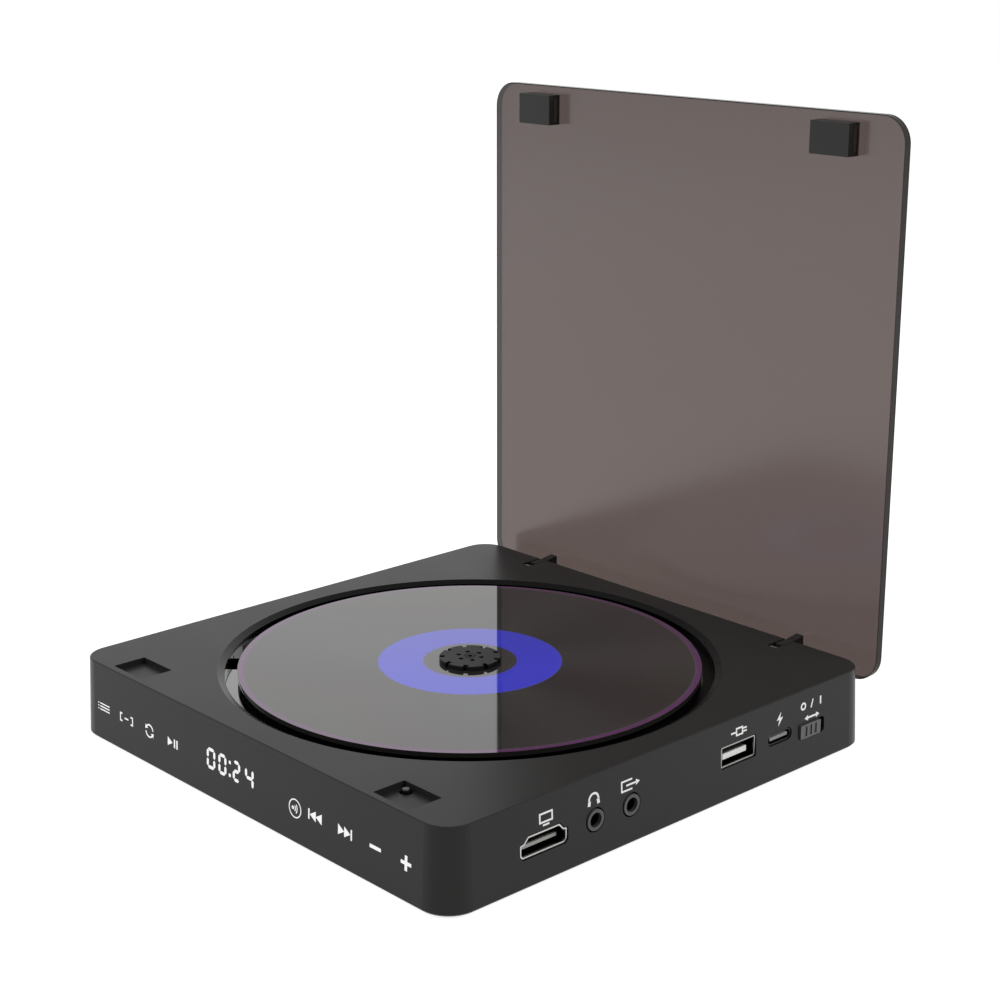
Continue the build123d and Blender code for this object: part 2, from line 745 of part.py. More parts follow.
# Pickup: sled, cover, nut, lens post and lens
sled = block((lens_x + sled_x[0], lens_x + sled_x[1]), (-sled_half, sled_half), sled_z)
arm_x_span = (lens_x + arm_span_x[0], lens_x + arm_span_x[1])
sled += block((arm_x_span[0], lens_x - arm_span_x[0]), (-arm_out, arm_out), arm_z)
for side in (-1, 1):
    sled += block(arm_x_span, sorted((side * arm_in, side * arm_out)), arm_z)
    sled -= bar(sled_bore_x, side * rail_y, rail_z, rail_r + run_gap)
sled -= post(lens_x, 0, lens_post_r - 1.2, (sled_z[1] - 2.5, sled_z[1] + 1))
nodes["pickup_sled"] = [loader(sled)]
cover_span = (lens_x + cover_x[0], lens_x + cover_x[1])
cover = block(cover_span, (-cover_half, cover_half), (sled_z[1], cover_top))
cover -= block(
    (cover_span[0] + cover_t, cover_span[1] - cover_t),
    (cover_t - cover_half, cover_half - cover_t),
    (sled_z[1] - 1, cover_top - cover_t),
)
cover -= post(lens_x, 0, lens_post_r + lens_post_gap, (sled_z[1], cover_top + 1))
nodes["pickup_cover"] = [loader(cover)]
coils = []
for side in (-1, 1):
    y = side * (lens_post_r + 2.4)
    coils.append(loader(block((lens_x - 2.5, lens_x + 2.5), (y - 1.0, y + 1.0), (sled_z[1], coil_top))))
nodes["focus_coils"] = coils
nut = block(nut_x, (screw_y - 2.4, -arm_out), (screw_z - 2.4, screw_z + 2.4))
nut -= bar((nut_x[0] - 1, nut_x[1] + 1), screw_y, screw_z, screw_r + run_gap)
nodes["lead_nut"] = [loader(nut)]
lens_post = post(lens_x, 0, lens_post_r, lens_post_z)
lens_post -= post(lens_x, 0, lens_r, (lens_post_z[0] - 1, lens_post_z[1] + 1))
nodes["lens_holder"] = [loader(lens_post)]
lens = post(lens_x, 0, lens_r, (lens_post_z[1] - 1.0, lens_top))
lens = fillet(lens.edges().group_by(Axis.Z)[-1], 0.25)
nodes["objective_lens"] = [loader(lens)]

# Lead screw and its motor
lead = bar(screw_end_x, screw_y, screw_z, screw_end_r) + bar(screw_x, screw_y, screw_z, screw_core_r)
turns = int((screw_x[1] - screw_x[0]) / screw_groove_pitch)
for i in range(turns):
    x = screw_x[0] + i * screw_groove_pitch
    lead += bar((x, x + screw_groove_pitch - screw_groove_t), screw_y, screw_z, screw_r)
nodes["lead_screw"] = [loader(lead)]
sled_motor = bar(sled_motor_x, screw_y, screw_z, sled_motor_r)
sled_motor -= bar((sled_motor_x[0] - 1, screw_end_x[1] + 0.5), screw_y, screw_z, screw_end_r + run_gap)
nodes["sled_motor"] = [loader(sled_motor)]

# Main board
board = block(board_x, board_y, (board_low, board_top))
board_screws = []
for x, y in board_screw_places:
    board -= post(x, y, board_screw_r + seat_gap, (board_low - 1, board_top + 1))
    screw = post(x, y, board_screw_r, (plate_top + 0.2, board_top))
    screw += post(x, y, board_head_r, (board_top, board_top + board_head_t))
    board_screws.append(screw)
nodes["main_board"] = [board]
nodes["board_screws"] = board_screws
chip_span_x = (chip_x - chip_side / 2, chip_x + chip_side / 2)
chip_span_y = (chip_y - chip_side / 2, chip_y + chip_side / 2)
nodes["main_chip"] = [block(chip_span_x, chip_span_y, (board_top, board_top + chip_t))]
spreader_low = board_top + chip_t
spreader = block(chip_span_x, chip_span_y, (spreader_low, spreader_low + spreader_t))
nodes["heat_spreader"] = [spreader]
chips = []
for x, y, w, d in small_chips:
    chips.append(block((x - w / 2, x + w / 2), (y - d / 2, y + d / 2), (board_top, board_top + small_chip_t)))
nodes["small_chips"] = chips
nodes["capacitors"] = [post(x, y, cap_r, (board_top, board_top + cap_h)) for x, y in cap_places]

# Battery
nodes["battery_tape"] = [
    block(
        (battery_x[0] + tape_inset, battery_x[1] - tape_inset),
        (battery_y[0] + tape_inset, battery_y[1] - tape_inset),
        (plate_top, plate_top + tape_t),
    )
]
battery_low = plate_top + tape_t
cell = block(battery_x, battery_y, (battery_low, battery_low + battery_t))
nodes["battery_pack"] = [fillet(cell.edges().filter_by(Axis.X), battery_edge_r)]

# Touch board, pads, display, receiver and ribbon
touch_y = (touch_back_y - touch_t, touch_back_y)
nodes["touch_board"] = [block(touch_x, touch_y, touch_z)]
pads = []
for x in pad_xs:
    pad_x = (x - pad_size[0] / 2, x + pad_size[0] / 2)
    pad_z = (key_z - pad_size[1] / 2, key_z + pad_size[1] / 2)
    pads.append(block(pad_x, (touch_y[0] - pad_film, touch_y[0]), pad_z))
nodes["touch_pads"] = pads
nodes["display_module"] = [block(display_x, (touch_back_y, touch_back_y + display_t), display_z)]
half = receiver_size[0] / 2
receiver_z = (key_z - receiver_size[2] / 2, key_z + receiver_size[2] / 2)
receiver = block(
    (receiver_x - half, receiver_x + half),
    (touch_back_y, touch_back_y + receiver_size[1]),
    receiver_z,
)
nodes["remote_receiver"] = [receiver]
ribbon = block(ribbon_x, (touch_back_y, ribbon_back_y), (plate_top, plate_top + ribbon_t))
ribbon += block(ribbon_x, (ribbon_back_y - ribbon_t, ribbon_back_y), (plate_top, board_low))
ribbon += block(ribbon_x, (touch_back_y, touch_back_y + ribbon_t), (plate_top, plate_top + 5))
nodes["front_ribbon"] = [ribbon]

# Video port
inner = offset(video_face, -port_metal)
nodes["video_port_shell"] = [
    along_x(video_face, video_x) - along_x(inner, (video_x[0] + port_metal, video_x[1] + 1))
]
back_x = (video_x[0] + port_metal, video_x[0] + tongue_back)
tongue = along_x(inner, back_x)
tongue += block((back_x[0], video_x[1] - video_recess), video_tongue_y, video_tongue_z)
nodes["video_port_tongue"] = [tongue]

# Round jacks
jack_names = ("headphone_jack", "picture_jack")
for name, y in zip(jack_names, jack_ys):
    mouth_x = wall_x(jack_z) + jack_proud
    jack = block(jack_body, (y - jack_half, y + jack_half), (board_top, jack_z + jack_half))
    jack += bar((jack_body[1], mouth_x), y, jack_z, jack_collar_r)
    jack = jack - bar((mouth_x - jack_depth, mouth_x + 1), y, jack_z, jack_bore_r)
    nodes[name] = [jack]

# Host port
inner = offset(host_face, -port_metal)
nodes["host_port_shell"] = [
    along_x(host_face, host_x) - along_x(inner, (host_x[0] + port_metal, host_x[1] + 1))
]
back_x = (host_x[0] + port_metal, host_x[0] + tongue_back)
tongue = along_x(inner, back_x)
tongue += block((back_x[0], host_x[1] - host_recess), host_tongue_y, host_tongue_z)
nodes["host_port_tongue"] = [tongue]

# Charge port
inner = offset(charge_face, -charge_metal)
nodes["charge_port_shell"] = [
    along_x(charge_face, charge_x) - along_x(inner, (charge_x[0] + charge_metal, charge_x[1] + 1))
]
back_x = (charge_x[0] + charge_metal, charge_x[0] + tongue_back)
tongue_y = (charge_y - charge_tongue[0] / 2, charge_y + charge_tongue[0] / 2)
tongue_z = (charge_z - charge_tongue[1] / 2, charge_z + charge_tongue[1] / 2)
tongue = along_x(inner, back_x)
tongue += block((back_x[0], charge_x[1] - charge_recess), tongue_y, tongue_z)
nodes["charge_port_tongue"] = [tongue]

# Risers that lift the ports off the main board
video_low = min(z for y, z in video_outline)
riser_end = board_x[1] - riser_inset
video_riser_y = (video_y - riser_half, video_y + riser_half)
host_riser_y = (host_y[0] + riser_margin, host_y[1] - riser_margin)
charge_riser_y = (charge_y - charge_size[0] / 3, charge_y + charge_size[0] / 3)
risers = [
    block((video_x[0] + riser_margin, riser_end), video_riser_y, (board_top, video_low)),
    block((host_x[0] + riser_margin, riser_end), host_riser_y, (board_top, host_z[0])),
    block((charge_x[0], riser_end), charge_riser_y, (board_top, charge_z - charge_size[1] / 2)),
]
nodes["port_risers"] = risers

# Power switch
switch_body = block(switch_body_x, switch_body_y, (board_top, switch_body_top))
knob_y = (window_y[0] + knob_front_gap, window_y[0] + knob_front_gap + knob_w)
knob_z = (window_z[0] + knob_side_gap, window_z[1] - knob_side_gap)
stem_y = (sum(knob_y) / 2 - stem_size[0] / 2, sum(knob_y) / 2 + stem_size[0] / 2)
stem_z = (sum(knob_z) / 2 - stem_size[1] / 2, sum(knob_z) / 2 + stem_size[1] / 2)
switch_body -= block(
    (stem_in_x - 0.3, switch_body_x[1] + 1),
    (stem_y[0] - 0.3, stem_y[1] + knob_travel + 0.3),
    (stem_z[0] - 0.2, stem_z[1] + 0.2),
)
nodes["power_switch_body"] = [switch_body]
knob_out_x = wall_x(sum(knob_z) / 2) + knob_proud
knob = along_x(rounded(knob_y, knob_z, knob_r), (knob_in_x, knob_out_x))
groove_z = (sum(knob_z) / 2 - knob_groove[1] / 2, sum(knob_z) / 2 + knob_groove[1] / 2)
for i in range(knob_grooves):
    y = sum(knob_y) / 2 + (i - (knob_grooves - 1) / 2) * knob_groove_pitch
    groove_y = (y - knob_groove[0] / 2, y + knob_groove[0] / 2)
    knob -= block((knob_out_x - knob_groove[2], knob_out_x + 1), groove_y, groove_z)
knob += block((stem_in_x, knob_in_x), stem_y, stem_z)
nodes["power_knob"] = [knob]

os.makedirs("parts", exist_ok=True)
for name, shapes in nodes.items():
    solids = []
    for shape in shapes:
        solids.extend(shape.solids())
    export_step(solids[0] if len(solids) == 1 else Compound(solids), f"parts/{name}.step")
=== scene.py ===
import json
import logging
import math
from dataclasses import dataclass, field
from enum import Enum

import bpy
import numpy as np
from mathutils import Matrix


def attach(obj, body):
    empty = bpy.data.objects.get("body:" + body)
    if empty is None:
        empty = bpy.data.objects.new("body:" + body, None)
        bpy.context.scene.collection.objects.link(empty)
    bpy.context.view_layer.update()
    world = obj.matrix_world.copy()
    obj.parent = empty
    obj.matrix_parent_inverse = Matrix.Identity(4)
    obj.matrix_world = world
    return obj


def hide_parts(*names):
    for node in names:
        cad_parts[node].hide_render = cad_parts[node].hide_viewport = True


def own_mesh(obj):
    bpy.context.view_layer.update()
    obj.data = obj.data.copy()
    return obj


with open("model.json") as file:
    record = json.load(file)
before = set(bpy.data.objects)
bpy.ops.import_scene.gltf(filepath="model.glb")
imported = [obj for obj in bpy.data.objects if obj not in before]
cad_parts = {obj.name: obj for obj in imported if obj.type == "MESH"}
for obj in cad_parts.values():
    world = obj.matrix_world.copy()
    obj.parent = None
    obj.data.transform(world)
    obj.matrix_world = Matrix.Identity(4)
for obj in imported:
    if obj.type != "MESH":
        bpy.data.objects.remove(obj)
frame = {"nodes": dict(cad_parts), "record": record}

log = logging.getLogger("disc player")
MM = 0.001
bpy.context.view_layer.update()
NODES: dict = frame["nodes"]

Colour = tuple[float, float, float]
Pair = tuple[float, float]
Points = tuple[Pair, ...]
Material = bpy.types.Material
Socket = bpy.types.NodeSocket
Sockets = bpy.types.bpy_prop_collection


class Wall(Enum):
    """The two walls of the case that carry signs."""

    FRONT = "front"
    RIGHT = "right"


class Pattern(Enum):
    """What a finish's surface is broken up by, as the stretch of its noise."""

    GRAIN = (1.0, 1.0, 1.0)
    BRUSHED = (0.06, 1.0, 1.0)


# --------------------------------------
# Nodes, and the groups that several finishes share


def new_group(name: str, inputs: dict[str, str], outputs: dict[str, str]) -> bpy.types.NodeTree:
    """Start a shader node group.

    Args:
        name: the group's name.
        inputs: socket name to kind, one of "Float", "Color" and "Vector".
        outputs: the same for what it puts out.

    Returns:
        The group, with its input node named "in" and its output node named "out".
    """
    group = bpy.data.node_groups.new(name, "ShaderNodeTree")
    for direction, sockets in (("INPUT", inputs), ("OUTPUT", outputs)):
        for socket, kind in sockets.items():
            group.interface.new_socket(socket, in_out=direction, socket_type="NodeSocket" + kind)
    group.nodes.new("NodeGroupInput").name = "in"
    group.nodes.new("NodeGroupOutput").name = "out"
    return group


@dataclass
class Wiring:
    """Short ways to add and join nodes in one tree."""

    tree: bpy.types.NodeTree

    @property
    def shader(self) -> Sockets:
        """The input sockets of the material's shader."""
        return self.tree.nodes["Principled BSDF"].inputs

    def add(self, kind: str, values: dict | None = None, **settings) -> bpy.types.Node:
        """Add a node, set its properties and give its inputs their values.

        Args:
            kind: the node's type without its "ShaderNode" start.
            values: input name or number to what it gets, a socket to link or a plain value.
            settings: the node's properties.

        Returns:
            The new node.
        """
        node = self.tree.nodes.new("ShaderNode" + kind)
        for name, value in settings.items():
            setattr(node, name, value)
        self.feed(values or {}, node.inputs)
        return node

    def join(self, source: Socket, target: Socket) -> None:
        """Link one socket to another."""
        self.tree.links.new(source, target)

    def feed(self, values: dict, sockets: Sockets) -> None:
        """Link sockets or set them to plain values.

        Args:
            values: name or number of a socket to what it gets, a socket or a plain value.
            sockets: the sockets.
        """
        for name, value in values.items():
            if isinstance(value, Socket):
                self.join(value, sockets[name])
            else:
                sockets[name].default_value = value

    def math(self, operation: str, *values: Socket | float, clamp: bool = False) -> Socket:
        """Add a Math node.

        Args:
            operation: the node's operation.
            values: its inputs in order.
            clamp: whether the result is kept between 0 and 1.

        Returns:
            What it puts out.
        """
        inputs = dict(enumerate(values))
        return self.add("Math", inputs, operation=operation, use_clamp=clamp).outputs[0]

    def mix(self, amount: Socket | float, low: Socket | tuple, high: Socket | tuple) -> Socket:
        """Mix two colours.

        Args:
            amount: from 0, all low, to 1, all high.
            low: the first colour.
            high: the second colour.

        Returns:
            The mixed colour.
        """
        return self.add("Mix", {0: amount, 6: low, 7: high}, data_type="RGBA").outputs[2]

    def scaled(self, colour: Socket, factor: Socket) -> Socket:
        """Multiply a colour by a number."""
        values = {"Vector": colour, "Scale": factor}
        return self.add("VectorMath", values, operation="SCALE").outputs[0]

    def noise(self, vector: Socket, scale: Socket | float, detail: float) -> Socket:
        """Add a Noise Texture and return its value, about 0.5 in the middle."""
        values = {"Vector": vector, "Scale": scale, "Detail": detail}
        return self.add("TexNoise", values).outputs["Fac"]

    def place(self) -> Sockets:
        """Return x, y and z in Object coordinates, in metres."""
        return self.add("SeparateXYZ", {0: self.add("TexCoord").outputs["Object"]}).outputs

    def length(self, a: Socket, b: Socket) -> Socket:
        """Return the root of a squared plus b squared."""
        squares = self.math("ADD", self.math("MULTIPLY", a, a), self.math("MULTIPLY", b, b))
        return self.math("SQRT", squares)

    def settle(self, values: dict) -> None:
        """Link sockets of the shader, or set them to plain values, by name."""
        self.feed(values, self.shader)

    def fed(self, name: str) -> Socket:
        """Return the socket that feeds one of the shader's."""
        return self.shader[name].links[0].from_socket

    def turn_roughness(self, mask: Socket, value: float) -> None:
        """Take the shader's roughness to a value where a mask is high.

        Args:
            mask: 1 where the value holds.
            value: the roughness there.
        """
        plain = self.fed("Roughness")
        change = self.math("MULTIPLY", mask, self.math("SUBTRACT", value, plain))
        self.settle({"Roughness": self.math("ADD", plain, change)})


def new_material(name: str) -> tuple[Material, Wiring]:
    """Start a material with nodes.

    Args:
        name: the material's name.

    Returns:
        The material and the wiring of its nodes.
    """
    material = bpy.data.materials.new(name)
    material.use_nodes = True
    return material, Wiring(material.node_tree)


# The grain group's own noises: their scales, how high a speck has to reach, and the dust's colour.
BROAD_SCALE = 45.0
SPECK_SCALE = 900.0
SPECK_LEVEL = 0.62
DUST_COLOUR = (0.5, 0.48, 0.45, 1)
# The marks group's: where a patch starts, and the scale, level and gain of its specks.
PATCH_LEVEL = 0.35
MARK_SCALE = 1500.0
MARK_LEVEL = 0.73
MARK_GAIN = 9.0


def grain_group() -> bpy.types.NodeTree:
    """Build the group that breaks up a colour and a roughness with moulded grain and faint dust.

    The colour is the plain one times 1 plus spread times two noises, one fine and one broad. Dust
    lies on faces that look up and lightens them a little where a fine noise is high.

    Returns:
        The group.
    """
    group = new_group(
        "fine grain",
        {
            "Colour": "Color", "Spread": "Float", "Roughness": "Float",
            "Roughness Spread": "Float", "Scale": "Float", "Stretch": "Vector", "Dust": "Float",
        },
        {"Colour": "Color", "Roughness": "Float", "Height": "Float"},
    )
    w = Wiring(group)
    source = group.nodes["in"].outputs
    target = group.nodes["out"].inputs
    place = w.add("TexCoord").outputs["Object"]
    stretched = w.add("VectorMath", {0: place, 1: source["Stretch"]}, operation="MULTIPLY")
    fine = w.noise(stretched.outputs[0], source["Scale"], 3.0)
    broad = w.noise(place, BROAD_SCALE, 3.0)
    lift = w.math("ADD", w.math("SUBTRACT", fine, 0.5), w.math("SUBTRACT", broad, 0.5))
    factor = w.math("ADD", 1.0, w.math("MULTIPLY", lift, source["Spread"]))
    tinted = w.scaled(source["Colour"], factor)
    facing = w.add("SeparateXYZ", {0: w.add("NewGeometry").outputs["Normal"]})
    upward = w.math("MULTIPLY", facing.outputs["Z"], 1.0, clamp=True)
    speck = w.math("SUBTRACT", w.noise(place, SPECK_SCALE, 4.0), SPECK_LEVEL, clamp=True)
    dust = w.math("MULTIPLY", w.math("MULTIPLY", upward, speck), source["Dust"], clamp=True)
    w.join(w.mix(dust, tinted, DUST_COLOUR), target["Colour"])
    swing = w.math("MULTIPLY", w.math("SUBTRACT", broad, 0.5), source["Roughness Spread"])
    uneven = w.math("ADD", source["Roughness"], swing)
    w.join(w.math("ADD", uneven, dust, clamp=True), target["Roughness"])
    w.join(fine, target["Height"])
    return group


def marks_group() -> bpy.types.NodeTree:
    """Build the group of faint handling marks that vary the gloss of a polished surface.

    A broad noise raises the roughness in patches, and a fine one lays a few specks of dust,
    which also come out as a mask.

    Returns:
        The group.
    """
    group = new_group(
        "handling marks",
        {"Roughness": "Float", "Amount": "Float", "Scale": "Float"},
        {"Roughness": "Float", "Mask": "Float"},
    )
    w = Wiring(group)
    source = group.nodes["in"].outputs
    target = group.nodes["out"].inputs
    place = w.add("TexCoord").outputs["Object"]
    patch = w.math("SUBTRACT", w.noise(place, source["Scale"], 3.0), PATCH_LEVEL, clamp=True)
    peak = w.math("SUBTRACT", w.noise(place, MARK_SCALE, 2.0), MARK_LEVEL, clamp=True)
    speck = w.math("MULTIPLY", peak, MARK_GAIN, clamp=True)
    w.join(speck, target["Mask"])
    raised = w.math("MULTIPLY", w.math("ADD", patch, speck), source["Amount"])
    w.join(w.math("ADD", source["Roughness"], raised, clamp=True), target["Roughness"])
    return group


GRAIN = grain_group()
MARKS = marks_group()


# --------------------------------------
# Finishes


@dataclass(frozen=True)
class Finish:
    """A plain or moulded surface: its colour, gloss and grain."""

    name: str
    colour: Colour
    roughness: float
    metallic: float = 0.0
    specular: float = 0.5
    coat: float = 0.0
    coat_roughness: float = 0.05
    spread: float = 0.12
    roughness_spread: float = 0.12
    scale: float = 2500.0
    depth: float = 0.00002
    relief: float = 0.6
    dust: float = 0.0
    pattern: Pattern = Pattern.GRAIN
    glow: float = 0.0

    def build(self) -> Material:
        """Make the material: a shader fed by the fine grain group.

        Returns:
            The material.
        """
        material, w = new_material(self.name)
        values = {
            "Colour": (*self.colour, 1), "Spread": self.spread, "Roughness": self.roughness,
            "Roughness Spread": self.roughness_spread, "Scale": self.scale,
            "Stretch": self.pattern.value, "Dust": self.dust,
        }
        grain = w.add("Group", values, node_tree=GRAIN).outputs
        w.settle({
            "Base Color": grain["Colour"], "Roughness": grain["Roughness"],
            "Metallic": self.metallic, "Specular IOR Level": self.specular,
            "Coat Weight": self.coat, "Coat Roughness": self.coat_roughness,
        })
        # Painted light: a glow of the colour itself, used by the front signs.
        if self.glow:
            w.settle({"Emission Color": grain["Colour"], "Emission Strength": self.glow})
        if self.depth:
            values = {
                "Height": grain["Height"], "Distance": self.depth, "Strength": self.relief,
            }
            w.settle({"Normal": w.add("Bump", values).outputs[0]})
        self.vary(w)
        return material

    def vary(self, w: Wiring) -> None:
        """Change the finish by place. The plain one has nothing to change."""

    def paint_shade(self, w: Wiring, kept: Socket, share: float) -> None:
        """Paint shade: scale the colour down to a share of itself where a mask is low.

        Args:
            w: the material's wiring.
            kept: the mask, 1 where the plain colour stays.
            share: what is left of the colour where the mask is 0.
        """
        dark = tuple(c * share for c in self.colour)
        w.settle({"Base Color": w.mix(kept, (*dark, 1), w.fed("Base Color"))})


@dataclass(frozen=True)
class CaseFinish(Finish):
    """The satin case, with the bevel round the well in gloss black."""

    bevel_end: float = 65.15 * MM
    bevel_low: float = 18.0 * MM
    bevel_colour: Colour = (0.008, 0.008, 0.008)
    bevel_roughness: float = 0.25

    def vary(self, w: Wiring) -> None:
        """Mix the gloss in on the bevel, by distance from the middle and by height.

        Args:
            w: the material's wiring.
        """
        x, y, z = w.place()
        inside = w.math("LESS_THAN", w.length(x, y), self.bevel_end)
        bevel = w.math("MULTIPLY", inside, w.math("GREATER_THAN", z, self.bevel_low))
        mixed = w.mix(bevel, w.fed("Base Color"), (*self.bevel_colour, 1))
        w.settle({"Base Color": mixed, "Metallic": bevel})
        w.turn_roughness(bevel, self.bevel_roughness)


@dataclass(frozen=True)
class WellFinish(Finish):
    """The gloss black well, whose wall and outer floor turn satin towards the right rear, with
    painted shade there: a black metal in place of the coat reflects almost nothing.
    """

    ring: float = 60.2 * MM
    start: float = 5.0 * MM
    fade: float = 25.0 * MM
    satin: float = 0.4

    def vary(self, w: Wiring) -> None:
        """Take the gloss off outside the ring, by distance along the diagonal, which also paints
        shade there.

        Args:
            w: the material's wiring.
        """
        x, y, _ = w.place()
        diagonal = w.math("MULTIPLY", w.math("ADD", x, y), math.sqrt(0.5))
        far = w.math("DIVIDE", w.math("SUBTRACT", diagonal, self.start), self.fade, clamp=True)
        dull_shade = w.math("MULTIPLY", far, w.math("GREATER_THAN", w.length(x, y), self.ring))
        glossy = w.math("SUBTRACT", 1.0, dull_shade)
        # Painted shade: where the mask is high, black metal without coat reflects almost nothing.
        w.settle({"Metallic": dull_shade, "Coat Weight": w.math("MULTIPLY", glossy, self.coat)})
        w.turn_roughness(dull_shade, self.satin)


@dataclass(frozen=True)
class PortFinish(Finish):
    """A port's metal or plastic, darkened with painted shade away from its front edge."""

    lip: float = 72.6 * MM
    reach: float = 0.5 * MM
    deep_shade: float = 0.04

    def vary(self, w: Wiring) -> None:
        """Darken the colour inward of the front edge: painted shade."""
        # Painted shade: the colour falls to a small share of itself inward of the lip.
        past = w.math("SUBTRACT", w.place()[0], self.lip - self.reach)
        self.paint_shade(w, w.math("DIVIDE", past, self.reach, clamp=True), self.deep_shade)


@dataclass(frozen=True)
class HubFinish(Finish):
    """The disc hub, whose side, notches and holes are darker than its flat top by painted shade.
    """

    top: float = 22.46 * MM
    below: float = 0.1

    def vary(self, w: Wiring) -> None:
        """Darken the colour below the top: painted shade."""
        # Painted shade on the side, the notches and the holes.
        self.paint_shade(w, w.math("GREATER_THAN", w.place()[2], self.top), self.below)


@dataclass(frozen=True)
class SmokedPlastic:
    """The see-through plastic of the lid, with faint handling marks and a dark cut edge.

    The plastic itself is clear to look through. A coat with a roughness of its own gives the
    soft reflection, and is weak on the cut edge.

    The edge is where the distance from the panel's rounded outline is less than edge. Inside a
    rounded rectangle that distance is the corner radius less the length of the part of
    (|x|, |z - middle|) that is past the corner's centre.
    """

    name: str = "smoked clear plastic"
    colour: Colour = (0.100, 0.0755, 0.070)
    edge_colour: Colour = (0.008, 0.008, 0.008)
    roughness: float = 0.03
    ior: float = 1.05
    coat_roughness: float = 0.18
    coat_ior: float = 1.5
    edge_loss: float = 0.75
    mark_amount: float = 0.03
    mark_scale: float = 40.0
    speck_gain: float = 1.5
    half_width: float = 72.5 * MM
    half_height: float = 73.0 * MM
    middle: float = 87.7 * MM
    corner: float = 7.0 * MM
    edge: float = 0.3 * MM

    def outline(self, w: Wiring) -> Socket:
        """Work out where the cut edge is.

        Args:
            w: the material's wiring.

        Returns:
            A mask, 1 along the panel's edge.
        """
        x, _, z = w.place()
        across = w.math("SUBTRACT", w.math("ABSOLUTE", x), self.half_width - self.corner)
        up = w.math("ABSOLUTE", w.math("SUBTRACT", z, self.middle))
        up = w.math("SUBTRACT", up, self.half_height - self.corner)
        past = w.length(w.math("MAXIMUM", across, 0.0), w.math("MAXIMUM", up, 0.0))
        return w.math("GREATER_THAN", past, self.corner - self.edge)

    def build(self) -> Material:
        """Make the material: one shader that lets light through, its roughness from the marks.

        Returns:
            The material.
        """
        material, w = new_material(self.name)
        cut = self.outline(w)
        values = {
            "Roughness": self.roughness, "Amount": self.mark_amount, "Scale": self.mark_scale,
        }
        marks = w.add("Group", values, node_tree=MARKS).outputs
        haze = tuple(min(1.0, c * self.speck_gain) for c in self.colour)
        smoked = w.mix(marks["Mask"], (*self.colour, 1), (*haze, 1))
        w.settle({
            "Base Color": w.mix(cut, smoked, (*self.edge_colour, 1)),
            "Roughness": marks["Roughness"], "Transmission Weight": 1.0, "IOR": self.ior,
            "Coat Weight": w.math("MULTIPLY_ADD", cut, -self.edge_loss, 1.0),
            "Coat Roughness": self.coat_roughness, "Coat IOR": self.coat_ior,
        })
        return material


